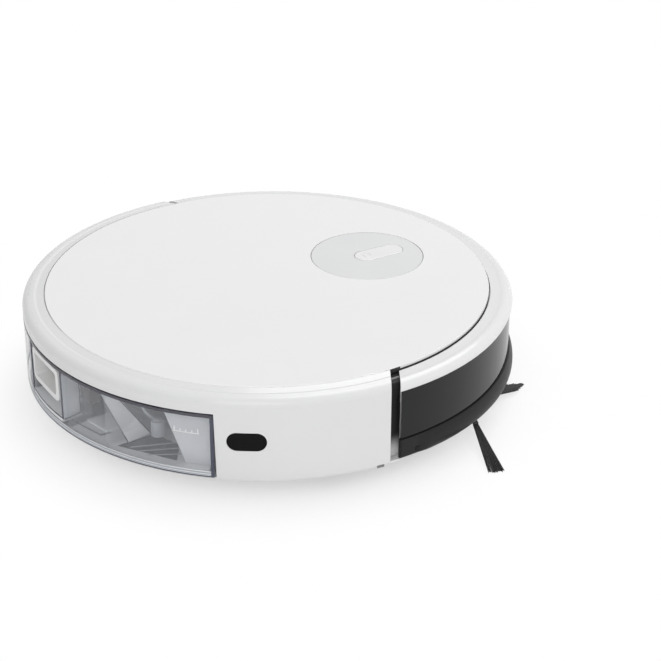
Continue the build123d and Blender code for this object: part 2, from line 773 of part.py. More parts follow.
with BuildPart() as bumper_springs:
    pitch = (spring_end_y - spring_seat_y) / spring_turns
    coil_r = (spring_in_r + spring_out_r) / 2
    for side in (-1, 1):
        with BuildSketch(Plane(origin=(side * peg_x, spring_seat_y, peg_z))):
            with Locations(*[(coil_r, (turn + 0.5) * pitch) for turn in range(spring_turns)]):
                Circle(pitch / 2)
            with Locations((coil_r, spring_turns * pitch / 2)):
                Rectangle(0.5, spring_turns * pitch)
        revolve(axis=Axis((side * peg_x, 0, peg_z), (0, 1, 0)))
finish(bumper_springs.part, "bumper_springs")

with BuildPart() as bump_switches:
    switch_y = peg_end_y - bumper_travel - 6
    with BuildSketch(Plane.XY.offset(floor_z)):
        with Locations((peg_x, switch_y), (-peg_x, switch_y)):
            Rectangle(9, 8)
    extrude(amount=peg_z + 5 - floor_z)
finish(bump_switches.part, "bump_switches")

with BuildPart() as obstacle_sensors:
    for angle in sensor_angles:
        board_d = sqrt(front_wall_in_r ** 2 - (sensor_board_w / 2) ** 2) - fit_gap
        with BuildSketch(upright(angle).offset(board_d)):
            with Locations((0, sensor_z)):
                Rectangle(sensor_board_w, sensor_board_h)
        extrude(amount=-board_t)
        with BuildSketch(upright(angle).offset(board_d)):
            with Locations((0, sensor_z)):
                Circle(sensor_hole_r - 0.3)
        extrude(amount=wall + 2)
finish(obstacle_sensors.part, "obstacle_sensors")

# ========================================================================= dust bin
bin_side_x = bin_half_x - bin_side_gap
bin_taper_x = bin_front_half - bin_side_gap


def bin_outline(inset):
    """Outline of the bin seen from above, moved in by inset."""
    with BuildSketch(mode=Mode.PRIVATE) as outline:
        Circle(body_r - inset)
        Polygon((bin_side_x - inset, -big), (bin_side_x - inset, bin_corner_y),
                (bin_taper_x - inset, bin_front_y - inset), (inset - bin_taper_x, bin_front_y - inset),
                (inset - bin_side_x, bin_corner_y), (inset - bin_side_x, -big),
                align=None, mode=Mode.INTERSECT)
    return outline.sketch


with BuildPart() as bin_shell:
    with BuildSketch(Plane.XY.offset(bin_low_z)):
        add(bin_outline(0))
    extrude(amount=bin_body_top_z - bin_low_z)
    with BuildSketch(Plane.XY.offset(bin_low_z + bin_floor)):
        add(bin_outline(bin_wall))
        with Locations((0, pocket_back_y + pocket_wall - big / 2)):
            Rectangle(2 * (pocket_half + pocket_wall), big, mode=Mode.SUBTRACT)
        with Locations((divider_x, 0)):
            Rectangle(thin, big, mode=Mode.SUBTRACT)
    extrude(amount=body_h, mode=Mode.SUBTRACT)
    with BuildSketch(Plane.XY.offset(pocket_low_z)):
        with Locations((0, pocket_back_y - big / 2)):
            Rectangle(2 * pocket_half, big)
    extrude(amount=body_h, mode=Mode.SUBTRACT)
    with BuildSketch(Plane.XZ.offset(bin_wall / 2 - bin_front_y)):
        with Locations((0, (inlet_low_z + inlet_top_z) / 2)):
            Rectangle(2 * inlet_half, inlet_top_z - inlet_low_z)
        with Locations((duct_x, (duct_low_z + bin_body_top_z) / 2 - 0.5)):
            Rectangle(2 * duct_half - 4, bin_body_top_z - duct_low_z - 1)
    extrude(amount=bin_wall, both=True, mode=Mode.SUBTRACT)
    # ears that hold the flap's pins
    for side in (-1, 1):
        with BuildSketch(Plane.YZ.offset(side * (inlet_half + 3))):
            with Locations(((bin_front_y - bin_wall + flap_y - 3) / 2, flap_z)):
                Rectangle(bin_front_y - bin_wall - flap_y + 3, 7)
            with Locations((flap_y, flap_z)):
                Circle(flap_pin_r + pin_gap, mode=Mode.SUBTRACT)
        extrude(amount=side * flap_ear_t)
finish(bin_shell.part, "bin_shell")

with BuildPart() as bin_lid:
    with BuildSketch(Plane.XY.offset(bin_body_top_z)):
        add(bin_outline(0))
        with Locations((plug_x, plug_y)):
            Circle(plug_r, mode=Mode.SUBTRACT)
    extrude(amount=bin_lid_t)
    with BuildSketch(Plane.XY.offset(bin_body_top_z)):
        add(bin_outline(bin_wall + 0.3))
        with Locations((0, pocket_back_y + pocket_wall + 0.3 - big / 2)):
            Rectangle(2 * (pocket_half + pocket_wall) + 0.6, big, mode=Mode.SUBTRACT)
        with Locations((0, bin_front_y)):
            Rectangle(big, 2 * filter_deep + 14, mode=Mode.SUBTRACT)
        with Locations((divider_x, 0)):
            Rectangle(thin + 0.6, big, mode=Mode.SUBTRACT)
        offset(amount=-1.2, mode=Mode.SUBTRACT)
    extrude(amount=-1.5)
finish(bin_lid.part, "bin_lid")

with BuildPart() as filler_plug:
    with BuildSketch(Plane.XY.offset(bin_body_top_z)):
        with Locations((plug_x, plug_y)):
            Circle(plug_r - 0.05)
    extrude(amount=bin_lid_t)
    with BuildSketch(Plane.XY.offset(bin_top_z)):
        with Locations((plug_x, plug_y)):
            Circle(plug_r + 1.5)
        with Locations((plug_x, plug_y - plug_r - 1)):
            Rectangle(4, 6)
    extrude(amount=0.6)
finish(filler_plug.part, "filler_plug")

with BuildPart() as latch_frame:
    with BuildSketch(Plane.XZ.offset(-frame_back_y)):
        with Locations((0, frame_mid_z)):
            RectangleRounded(2 * frame_half, frame_top_z - frame_low_z, frame_round)
            RectangleRounded(2 * (frame_half - frame_wall), frame_top_z - frame_low_z - 2 * frame_wall,
                             frame_round - 1.5, mode=Mode.SUBTRACT)
    extrude(amount=frame_deep + over)
    with BuildSketch(Plane.XY):
        Circle(body_r - 0.4)
    extrude(amount=body_h, mode=Mode.INTERSECT)
    # side lugs that hold the frame between the walls of the pocket
    with BuildSketch(Plane.XZ.offset(-frame_back_y)):
        for side in (-1, 1):
            with Locations((side * (frame_half + pocket_half) / 2, frame_mid_z)):
                Rectangle(pocket_half - frame_half + 0.6, 10)
    extrude(amount=8)
    with BuildSketch(Plane.XZ.offset(-frame_back_y)):
        with Locations((0, frame_mid_z)):
            Rectangle(2 * pocket_half, 40)
    extrude(amount=20, mode=Mode.INTERSECT)
finish(latch_frame.part, "latch_frame")

with BuildPart() as latch_button:
    with BuildSketch(Plane.XZ.offset(-latch_front_y)):
        with Locations((0, frame_mid_z)):
            RectangleRounded(2 * (frame_half - frame_wall - button_gap),
                             frame_top_z - frame_low_z - 2 * (frame_wall + button_gap), 2.2)
    extrude(amount=-latch_t)
    with BuildSketch(Plane.XZ.offset(-latch_front_y)):
        with Locations((0, frame_mid_z)):
            RectangleRounded(22, 7, 2.5)
    extrude(amount=-1.5, taper=20, mode=Mode.SUBTRACT)
finish(latch_button.part, "latch_button")

with BuildPart() as inlet_flap:
    with BuildSketch(Plane.XZ.offset(-flap_y - flap_t / 2)):
        with Locations((0, (inlet_low_z + flap_z) / 2 - 0.5)):
            Rectangle(2 * inlet_half + 3, inlet_h + flap_rise + 1)
    extrude(amount=flap_t)
    with BuildSketch(Plane.YZ.offset(-inlet_half - 3 - flap_ear_t)):
        with Locations((flap_y, flap_z)):
            Circle(flap_pin_r)
    extrude(amount=2 * (inlet_half + 3 + flap_ear_t))
finish(inlet_flap.part, "inlet_flap")

with BuildPart() as bin_ramp:
    ramp_top_y = flap_y - ramp_back
    ramp_top_z = inlet_low_z + ramp_rise
    bin_floor_z = bin_low_z + bin_floor
    with BuildSketch(Plane.YZ.offset(-inlet_half)):
        with BuildLine():
            Polyline((ramp_top_y, bin_floor_z), (ramp_top_y, ramp_top_z), (ramp_top_y - ramp_t, ramp_top_z),
                     (ramp_top_y - ramp_l, bin_floor_z), close=True)
        make_face()
    extrude(amount=2 * inlet_half)
    with BuildSketch(Plane.YZ.offset(-inlet_half + ramp_t)):
        with BuildLine():
            Polyline((ramp_top_y - ramp_t + 0.2, bin_low_z), (ramp_top_y - ramp_t + 0.2, ramp_top_z - 2.5),
                     (ramp_top_y - ramp_l + 2, bin_low_z), close=True)
        make_face()
    extrude(amount=2 * (inlet_half - ramp_t), mode=Mode.SUBTRACT)
    with BuildSketch(Plane.XY.offset(bin_low_z)):
        with Locations((0, pocket_back_y + pocket_wall - big / 2 + 0.5)):
            Rectangle(2 * (pocket_half + pocket_wall + 0.5), big)
    extrude(amount=body_h, mode=Mode.SUBTRACT)
finish(bin_ramp.part, "bin_ramp")

with BuildPart() as filter_frame:
    with BuildSketch(Plane.XZ.offset(-filter_y)):
        with Locations((duct_x, (filter_low_z + bin_body_top_z) / 2)):
            Rectangle(2 * filter_half, bin_body_top_z - filter_low_z)
            Rectangle(2 * (filter_half - filter_rim), bin_body_top_z - filter_low_z - 2 * filter_edge,
                      mode=Mode.SUBTRACT)
    extrude(amount=filter_deep)
finish(filter_frame.part, "filter_frame")

with BuildPart() as filter_pleats:
    pack_half = filter_half - filter_rim
    pitch = 2 * pack_half / pleat_count
    groove_y = filter_y - filter_deep + 1 + pleat_deep / 2
    with BuildSketch(Plane.XY.offset(filter_low_z + filter_edge)):
        with Locations((duct_x, filter_y - filter_deep / 2)):
            Rectangle(2 * pack_half, filter_deep - 3)
        with Locations(*[(duct_x - pack_half + (n + 0.5) * pitch, groove_y) for n in range(pleat_count)]):
            Rectangle(pitch / 2, pleat_deep, mode=Mode.SUBTRACT)
    extrude(amount=bin_body_top_z - filter_low_z - 2 * filter_edge)
finish(filter_pleats.part, "filter_pleats")

# ================================================================= fan and main brush
fan_mid_y = (fan_front_y + fan_back_y) / 2
outlet_z = fan_z + fan_r - outlet_h / 2
with BuildPart() as fan_housing:
    with BuildSketch(Plane.XZ.offset(-fan_front_y)):
        with Locations((duct_x, fan_z)):
            Circle(fan_r)
    extrude(amount=fan_front_y - fan_back_y)
    plenum_back_y = housing_front_y + 0.2
    with BuildSketch(Plane.XZ.offset(-fan_back_y)):
        with Locations((duct_x, (fan_z - fan_inlet_r - 2 + duct_top_z) / 2)):
            Rectangle(2 * duct_half, duct_top_z - fan_z + fan_inlet_r + 2)
    extrude(amount=fan_back_y - plenum_back_y)
    with BuildSketch(Plane.XZ.offset(-fan_back_y)):
        with Locations((duct_x, (duct_low_z + duct_top_z) / 2)):
            Rectangle(2 * duct_half, duct_h)
    extrude(amount=fan_back_y - bin_front_y - 0.7)
    # outlet, which blows to the left
    with BuildSketch(Plane.YZ.offset(duct_x)):
        with Locations((fan_mid_y, outlet_z)):
            Rectangle(fan_front_y - fan_back_y, outlet_h)
    extrude(amount=-fan_r - outlet_l)
    # hollow: scroll, inlet, plenum, duct and outlet
    with BuildSketch(Plane.XZ.offset(-fan_front_y + fan_wall)):
        with Locations((duct_x, fan_z)):
            Circle(fan_r - fan_wall)
    extrude(amount=fan_front_y - fan_back_y - 2 * fan_wall, mode=Mode.SUBTRACT)
    with BuildSketch(Plane.XZ.offset(-fan_front_y - 1)):
        with Locations((duct_x, fan_z)):
            Circle(fan_shaft_r + 1.5)
    extrude(amount=8, mode=Mode.SUBTRACT)
    with BuildSketch(Plane.XZ.offset(-fan_back_y - 5)):
        with Locations((duct_x, fan_z)):
            Circle(fan_inlet_r)
    extrude(amount=8, mode=Mode.SUBTRACT)
    with BuildSketch(Plane.XZ.offset(-fan_back_y)):
        with Locations((duct_x, (fan_z - fan_inlet_r + duct_top_z - duct_wall) / 2)):
            Rectangle(2 * (duct_half - duct_wall), duct_top_z - duct_wall - fan_z + fan_inlet_r)
    extrude(amount=fan_back_y - plenum_back_y - duct_wall, mode=Mode.SUBTRACT)
    with BuildSketch(Plane.XZ.offset(-fan_back_y)):
        with Locations((duct_x, (duct_low_z + duct_top_z) / 2)):
            Rectangle(2 * (duct_half - duct_wall), duct_h - 2 * duct_wall)
    extrude(amount=fan_back_y - bin_front_y, mode=Mode.SUBTRACT)
    with BuildSketch(Plane.YZ.offset(duct_x)):
        with Locations((fan_mid_y, outlet_z)):
            Rectangle(fan_front_y - fan_back_y - 2 * fan_wall, outlet_h - 2 * fan_wall)
    extrude(amount=-fan_r - outlet_l - 10, mode=Mode.SUBTRACT)
finish(fan_housing.part, "fan_housing")

with BuildPart() as fan_impeller:
    wheel_front_y = fan_front_y - fan_wall - impeller_gap
    wheel_back_y = fan_back_y + fan_wall + impeller_gap
    with BuildSketch(Plane.XZ.offset(-wheel_front_y)):
        with Locations((duct_x, fan_z)):
            Circle(impeller_r)
    extrude(amount=1.5)
    with BuildSketch(Plane.XZ.offset(-wheel_front_y)):
        with Locations((duct_x, fan_z)):
            Circle(5.0)
        with Locations((duct_x, fan_z)):
            with PolarLocations((impeller_r + 6) / 2, blade_count):
                Rectangle(impeller_r - 7, 1.4)
    extrude(amount=wheel_front_y - wheel_back_y)
    with BuildSketch(Plane.XZ.offset(-fan_front_y)):
        with Locations((duct_x, fan_z)):
            Circle(fan_shaft_r + pin_gap)
    extrude(amount=fan_front_y - fan_back_y, mode=Mode.SUBTRACT)
finish(fan_impeller.part, "fan_impeller")

with BuildPart() as fan_motor:
    with BuildSketch(Plane.XZ.offset(-fan_front_y)):
        with Locations((duct_x, fan_z)):
            Circle(fan_motor_r)
    extrude(amount=-fan_motor_l)
    with BuildSketch(Plane.XZ.offset(-fan_front_y)):
        with Locations((duct_x, fan_z)):
            Circle(fan_shaft_r)
    extrude(amount=fan_front_y - wheel_back_y)
    fillet(fan_motor.faces().sort_by(Axis.Y)[-1].edges(), 1.0)
finish(fan_motor.part, "fan_motor")

with BuildPart() as brush_housing:
    with BuildSketch(Plane.YZ.offset(-housing_end_x)):
        with Locations((housing_mid_y, (base_z + housing_top_z) / 2)):
            Rectangle(housing_front_y - housing_back_y, housing_top_z - base_z)
        fillet(vertices().group_by(Axis.Z)[-1], housing_round)
    extrude(amount=2 * housing_end_x)
    with BuildSketch(Plane.XY.offset(floor_z)):
        with Locations((0, housing_mid_y)):
            Rectangle(2 * (housing_end_x + housing_flange), housing_front_y - housing_back_y)
    extrude(amount=housing_flange_t)
    with BuildSketch(Plane.YZ.offset(-housing_half)):
        with Locations((brush_y, brush_z)):
            Circle(housing_r)
        with Locations((brush_y, brush_z / 2)):
            Rectangle(2 * housing_r, brush_z)
    extrude(amount=2 * housing_half, mode=Mode.SUBTRACT)
    with BuildSketch(Plane.XZ.offset(-brush_y)):
        with Locations((0, (inlet_low_z + inlet_top_z) / 2)):
            Rectangle(2 * inlet_half, inlet_h + 2 * mouth_margin)
    extrude(amount=brush_y - housing_back_y + over, mode=Mode.SUBTRACT)
    with BuildSketch(Plane.YZ.offset(-big / 2)):
        with Locations((brush_y, brush_z)):
            Circle(stub_r + 1)
    extrude(amount=big, mode=Mode.SUBTRACT)
    for side in (-1, 1):
        with BuildSketch(Plane.YZ.offset(side * housing_end_x)):
            with Locations((brush_y, brush_z)):
                Circle(bearing_r + fit_gap)
        extrude(amount=side * 2 * housing_flange, mode=Mode.SUBTRACT)
finish(brush_housing.part, "brush_housing")

with BuildPart() as main_brush:
    with BuildSketch(Plane.YZ.offset(-brush_half)):
        with Locations((brush_y, brush_z)):
            Circle(brush_core_r)
            with PolarLocations((brush_r + brush_core_r - 1) / 2, brush_blades):
                Rectangle(brush_r - brush_core_r + 1, brush_blade_t)
            Circle(brush_r, mode=Mode.INTERSECT)
    extrude(amount=2 * brush_half)
    with BuildSketch(Plane.YZ.offset(-brush_half - stub_l)):
        with Locations((brush_y, brush_z)):
            Circle(stub_r)
    extrude(amount=2 * (brush_half + stub_l))
finish(main_brush.part, "main_brush")

with BuildPart() as brush_bearing:
    with BuildSketch(Plane.YZ.offset(housing_end_x)):
        with Locations((brush_y, brush_z)):
            Circle(bearing_r)
    extrude(amount=bearing_l)
    with BuildSketch(Plane.YZ.offset(housing_end_x - over)):
        with Locations((brush_y, brush_z)):
            Circle(stub_r + pin_gap)
    extrude(amount=housing_flange, mode=Mode.SUBTRACT)
finish(brush_bearing.part, "brush_bearing")

with BuildPart() as brush_motor:
    with BuildSketch(Plane.YZ.offset(-housing_end_x)):
        with Locations((brush_y, brush_z)):
            Circle(bearing_r)
        with Locations((brush_y, (brush_z + brush_motor_z) / 2 + 2)):
            Rectangle(brush_gear_w, brush_motor_z - brush_z + 4)
        with Locations((brush_y, brush_motor_z)):
            Circle(brush_motor_r)
    extrude(amount=-brush_gear_t)
    with BuildSketch(Plane.YZ.offset(-housing_end_x)):
        with Locations((brush_y, brush_motor_z)):
            Circle(brush_motor_r)
    extrude(amount=brush_motor_l)
    with BuildSketch(Plane.YZ.offset(over - housing_end_x)):
        with Locations((brush_y, brush_z)):
            Circle(stub_r + pin_gap)
    extrude(amount=-bearing_l, mode=Mode.SUBTRACT)
finish(brush_motor.part, "brush_motor")

with BuildPart() as brush_guard:
    with BuildSketch(Plane.XY.offset(base_z)):
        with Locations((0, housing_mid_y)):
            RectangleRounded(2 * (housing_end_x + guard_edge),
                             housing_front_y - housing_back_y + 2 * guard_lap, 4)
            Rectangle(2 * housing_half, 2 * (housing_r - guard_lap), mode=Mode.SUBTRACT)
    extrude(amount=-guard_t)
finish(brush_guard.part, "brush_guard")

# ================================================================= drive wheels
for side, hand in ((-1, "left"), (1, "right")):
    # The arm swings on a pin fixed in the base and carries the gearbox.
    with BuildPart() as drive_arm:
        with BuildSketch(Plane.YZ.offset(side * arm_in_x)):
            with BuildSketch(mode=Mode.PRIVATE) as ends:
                with Locations((pivot_y, pivot_z)):
                    Circle(arm_pivot_r)
                with Locations((wheel_y, wheel_r)):
                    Circle(arm_wheel_r)
            add(make_hull(ends.sketch.edges(), mode=Mode.PRIVATE))
            with Locations((pivot_y, pivot_z)):
                Circle(pivot_r + pin_gap, mode=Mode.SUBTRACT)
            with Locations((wheel_y, wheel_r)):
                Circle(axle_r + pin_gap, mode=Mode.SUBTRACT)
        extrude(amount=side * (arm_out_x - arm_in_x))
    finish(drive_arm.part, f"drive_arm_{hand}")

    with BuildPart() as drive_motor:
        with BuildSketch(Plane.YZ.offset(side * arm_in_x)):
            with Locations((drive_motor_y, drive_motor_z)):
                Circle(drive_motor_r)
        extrude(amount=side * (drive_motor_end_x - arm_in_x))
        with BuildSketch(Plane.YZ.offset(side * drive_motor_end_x)):
            with Locations((drive_motor_y, drive_motor_z)):
                Circle(4.0)
        extrude(amount=-side * 2)
    finish(drive_motor.part, f"drive_motor_{hand}")

    with BuildPart() as wheel_hub:
        with BuildSketch(Plane.YZ.offset(side * wheel_in_x)):
            with Locations((wheel_y, wheel_r)):
                Circle(rim_wheel_r)
                Circle(rim_wheel_r - hub_rim_t, mode=Mode.SUBTRACT)
        extrude(amount=side * wheel_w)
        with BuildSketch(Plane.YZ.offset(side * (wheel_in_x + wheel_w / 2))):
            with Locations((wheel_y, wheel_r)):
                Circle(rim_wheel_r - 1)
        extrude(amount=side * hub_web_t)
        with BuildSketch(Plane.YZ.offset(side * (wheel_in_x + (wheel_w - hub_boss_l) / 2))):
            with Locations((wheel_y, wheel_r)):
                Circle(hub_boss_r)
        extrude(amount=side * hub_boss_l)
        with BuildSketch(Plane.YZ.offset(side * (arm_in_x + 2))):
            with Locations((wheel_y, wheel_r)):
                Circle(axle_r)
        extrude(amount=side * (wheel_in_x + wheel_w / 2 - arm_in_x))
    finish(wheel_hub.part, f"wheel_hub_{hand}")

    with BuildPart() as tyre:
        with BuildSketch(Plane.YZ.offset(side * wheel_in_x)):
            with Locations((wheel_y, wheel_r)):
                Circle(wheel_r)
                Circle(rim_wheel_r, mode=Mode.SUBTRACT)
        extrude(amount=side * wheel_w)
        fillet(tyre.edges().filter_by(GeomType.CIRCLE).group_by(SortBy.RADIUS)[-1], 1.5)
        with BuildSketch(Plane.YZ.offset(side * (wheel_in_x + tread_edge))):
            with Locations((wheel_y, wheel_r)):
                with PolarLocations(wheel_r, tread_count, start_angle=90 + 180 / tread_count):
                    Rectangle(2 * tread_deep, tread_w)
        extrude(amount=side * (wheel_w - 2 * tread_edge), mode=Mode.SUBTRACT)
    finish(tyre.part, f"tyre_{hand}")

with BuildPart() as suspension_pins:
    for side in (-1, 1):
        with BuildSketch(Plane.YZ.offset(side * (well_in_x - thin))):
            with Locations((pivot_y, pivot_z)):
                Circle(pivot_r)
        extrude(amount=side * (ear_in_x + ear_t - well_in_x + thin))
finish(suspension_pins.part, "suspension_pins")

# Each arm has a coil spring round its pin, between the well's wall and the arm.
with BuildPart() as suspension_springs:
    coil_y = pivot_y + pivot_r + fit_gap + spring_wire_r
    first_x = well_in_x + 0.4 + spring_wire_r
    for side in (-1, 1):
        for coil in range(spring_coils):
            coil_x = side * (first_x + coil * (2 * spring_wire_r - 0.1))
            with BuildSketch(Plane.XY.offset(pivot_z)):
                with Locations((coil_x, coil_y)):
                    Circle(spring_wire_r)
            revolve(axis=Axis((0, pivot_y, pivot_z), (1, 0, 0)))
finish(suspension_springs.part, "suspension_springs")

# ======================================================================= caster
with BuildPart() as caster_cup:
    with BuildSketch(Plane.XZ.offset(-caster_y)):
        with BuildLine():
            roof_z = cup_top_z - cup_roof_t
            hole_r = caster_pin_r + pin_gap
            Polyline((hole_r, cup_top_z), (cup_r, cup_top_z), (cup_r, base_z), (cup_r - thin, base_z),
                     (cup_r - thin, roof_z), (hole_r, roof_z), close=True)
        make_face()
    revolve(axis=Axis((0, caster_y, 0), (0, 0, 1)))
    with BuildSketch(Plane.XY.offset(floor_z)):
        with Locations((0, caster_y)):
            Circle(cup_r + 2)
            Circle(cup_r - 1, mode=Mode.SUBTRACT)
    extrude(amount=1.6)
finish(caster_cup.part, "caster_cup")

with BuildPart() as caster_fork:
    with BuildSketch(Plane.XZ.offset(-caster_y)):
        with BuildLine():
            Polyline((0, caster_low_z), (caster_r - 1.5, caster_low_z), (caster_r, caster_low_z + 1.5),
                     (caster_r, caster_top_z - 4), (caster_r - 4, caster_top_z), (caster_pin_r, caster_top_z),
                     (caster_pin_r, cup_top_z + 0.5), (0, cup_top_z + 0.5), close=True)
        make_face()
    revolve(axis=Axis((0, caster_y, 0), (0, 0, 1)))
    with BuildSketch(Plane.YZ.offset(-slot_w / 2)):
        with Locations((caster_wheel_y, caster_wheel_r)):
            Circle(caster_wheel_r + caster_slot_gap)
        with Locations((caster_wheel_y, caster_wheel_r / 2)):
            Rectangle(2 * (caster_wheel_r + caster_slot_gap), caster_wheel_r)
    extrude(amount=slot_w, mode=Mode.SUBTRACT)
    with BuildSketch(Plane.YZ.offset(-caster_r)):
        with Locations((caster_wheel_y, caster_wheel_r)):
            Circle(caster_axle_r)
    extrude(amount=2 * caster_r, mode=Mode.SUBTRACT)
finish(caster_fork.part, "caster_fork")

with BuildPart() as caster_axle:
    with BuildSketch(Plane.YZ.offset(-slot_w / 2 - 5)):
        with Locations((caster_wheel_y, caster_wheel_r)):
            Circle(caster_axle_r)
    extrude(amount=slot_w + 10)
finish(caster_axle.part, "caster_axle")

with BuildPart() as caster_wheel:
    with BuildSketch(Plane.YZ.offset(-caster_wheel_w / 2)):
        with Locations((caster_wheel_y, caster_wheel_r)):
            Circle(caster_wheel_r)
            Circle(caster_axle_r + pin_gap, mode=Mode.SUBTRACT)
    extrude(amount=caster_wheel_w)
    fillet(caster_wheel.edges().filter_by(GeomType.CIRCLE).group_by(SortBy.RADIUS)[-1], 2.5)
finish(caster_wheel.part, "caster_wheel")

# ================================================================== side brushes
for side, hand in ((-1, "left"), (1, "right")):
    hub = (side * side_hub_x, side_hub_y)
    hub_axis = Axis((*hub, 0), (0, 0, 1))
    first_arm = side_angle if side > 0 else 180 - side_angle
    radial_angle = degrees(atan2(side_hub_y, side * side_hub_x))
    gear_centre = polar(gear_centre_r, radial_angle)

    with BuildPart() as side_gear:
        with BuildSketch(Plane.XY.offset(boss_top_z)):
            with BuildSketch(mode=Mode.PRIVATE) as gear_ends:
                with Locations(hub):
                    Circle(gear_out_r)
                with Locations(gear_centre):
                    Circle(gear_in_r)
            add(make_hull(gear_ends.sketch.edges(), mode=Mode.PRIVATE))
        extrude(amount=gear_top_z - boss_top_z)
        with BuildSketch(Plane.XY.offset(gear_top_z)):
            with Locations(gear_centre):
                Circle(side_motor_r)
        extrude(amount=side_motor_top_z - gear_top_z)
        with BuildSketch(Plane.XY.offset(boss_top_z)):
            with Locations(hub):
                Circle(side_shaft_r + pin_gap)
        extrude(amount=gear_top_z - boss_top_z - 2, mode=Mode.SUBTRACT)
    finish(side_gear.part, f"side_brush_motor_{hand}")

    # Arms and bristles slope down from the hub: two bands round its axis give their height.
    with BuildPart() as side_hub:
        with BuildSketch(Plane.XY):
            with Locations(Location((*hub, 0), (0, 0, first_arm))):
                with PolarLocations(side_arm_end / 2, 3):
                    with Locations((0, side * side_shift)):
                        Rectangle(side_arm_end, side_arm_w)
        extrude(amount=base_z)
        with BuildSketch(Plane.XZ.offset(-side_hub_y)):
            with BuildLine():
                root_x = hub[0] + side_hub_r
                tip_x = hub[0] + side_arm_end
                Polyline((hub[0], arm_low_z), (hub[0], arm_top_z), (root_x, arm_top_z),
                         (tip_x, arm_tip_top_z), (tip_x, arm_tip_low_z), (root_x, arm_low_z), close=True)
            make_face()
        revolve(axis=hub_axis, mode=Mode.INTERSECT)
        with BuildSketch(Plane.XY.offset(side_hub_z)):
            with Locations(hub):
                Circle(side_hub_r)
        extrude(amount=recess_top_z - slide_gap - side_hub_z)
        chamfer(side_hub.faces().filter_by(Plane.XY).sort_by(Axis.Z)[0].edges(), 0.6)
        with BuildSketch(Plane.XY.offset(recess_top_z - 1)):
            with Locations(hub):
                Circle(side_shaft_r)
        extrude(amount=gear_top_z - 4 - recess_top_z + 1)
    finish(side_hub.part, f"side_brush_hub_{hand}")

    with BuildPart() as side_tufts:
        tuft_l = side_reach - side_arm_end
        with BuildSketch(Plane.XY):
            with Locations(Location((*hub, 0), (0, 0, first_arm))):
                with PolarLocations(side_arm_end, 3):
                    with Locations((0, side * side_shift)):
                        Polygon((0, -tuft_root_w / 2), (tuft_l, -side_tip_w / 2), (tuft_l, side_tip_w / 2),
                                (0, tuft_root_w / 2), align=None)
        extrude(amount=base_z)
        with BuildSketch(Plane.XZ.offset(-side_hub_y)):
            with BuildLine():
                root_x = hub[0] + side_arm_end
                tip_x = hub[0] + side_reach
                Polyline((root_x, arm_tip_low_z + 0.3), (root_x, arm_tip_top_z - 0.3),
                         (tip_x, tuft_top_z), (tip_x, tuft_low_z), close=True)
            make_face()
        revolve(axis=hub_axis, mode=Mode.INTERSECT)
    finish(side_tufts.part, f"side_brush_tufts_{hand}")

# =========================================================== battery, boards and small parts
with BuildPart() as battery_pack:
    with BuildSketch(Plane.XZ.offset(-battery_y0)):
        with Locations((0, floor_z + battery_h / 2)):
            RectangleRounded(2 * battery_half_x, battery_h, 2)
    extrude(amount=battery_y0 - battery_y1)
    with BuildSketch(Plane.XZ.offset(-battery_y0)):
        for groove in (-2, 0, 2):
            with Locations((groove * cell_r, floor_z + battery_h + 1.2)):
                Circle(2.4)
    extrude(amount=battery_y0 - battery_y1, mode=Mode.SUBTRACT)
finish(battery_pack.part, "battery_pack")

with BuildPart() as battery_cover:
    with BuildSketch(Plane.XY.offset(base_z)):
        with Locations((0, battery_mid_y)):
            Rectangle(2 * (battery_half_x + battery_gap - cover_gap),
                      battery_y1 - battery_y0 + 2 * (battery_gap - cover_gap))
    extrude(amount=floor_z - base_z)
    with BuildSketch(Plane.XY.offset(base_z)):
        with Locations((0, battery_y0 + 6)):
            SlotOverall(24, 6)
    extrude(amount=0.8, mode=Mode.SUBTRACT)
finish(battery_cover.part, "battery_cover")

with BuildPart() as main_board:
    with BuildSketch(Plane.XY.offset(main_board_top_z)):
        with Locations((0, (main_board_y0 + main_board_y1) / 2)):
            Rectangle(2 * main_board_half_x, main_board_y1 - main_board_y0)
    extrude(amount=-board_t)
    with BuildSketch(Plane.XY.offset(main_board_top_z)):
        with Locations((-20, 62)):
            Rectangle(22, 22)
        with Locations((22, 84), (40, 60)):
            Rectangle(10, 14)
        with Locations((-52, 70), (-46, 90), (12, 52), (56, 78)):
            Circle(4)
    extrude(amount=5)
finish(main_board.part, "main_board")

with BuildPart() as control_board:
    with BuildSketch(Plane.XY.offset(deck_low_z)):
        with Locations((0, disc_y)):
            Circle(control_board_r)
    extrude(amount=-board_t)
    with BuildSketch(Plane.XY.offset(deck_low_z)):
        with Locations((0, button_y)):
            Rectangle(6, 6)
    extrude(amount=lid_z - flange_drop - button_flange_t - button_travel - 0.1 - deck_low_z)
finish(control_board.part, "control_board")

with BuildPart() as charging_contacts:
    with BuildSketch(Plane.XY.offset(base_z - contact_proud)):
        with Locations((contact_x, contact_y), (-contact_x, contact_y)):
            Rectangle(contact_l, contact_w)
    extrude(amount=contact_t)
finish(charging_contacts.part, "charging_contacts")

with BuildPart() as cliff_windows:
    with BuildSketch(Plane.XY.offset(base_z)):
        for angle in cliff_angles:
            with Locations(Location((*polar(cliff_r, angle), 0), (0, 0, angle))):
                Rectangle(cliff_w, cliff_l)
    extrude(amount=floor_z - base_z)
finish(cliff_windows.part, "cliff_windows")

with BuildPart() as speaker:
    with BuildSketch(Plane.XY.offset(deck_low_z)):
        with Locations((speaker_x, speaker_y)):
            Circle(speaker_r)
    extrude(amount=-2)
    with BuildSketch(Plane.XY.offset(deck_low_z - 2)):
        with Locations((speaker_x, speaker_y)):
            Circle(speaker_r - 3)
    extrude(amount=-6)
finish(speaker.part, "speaker")
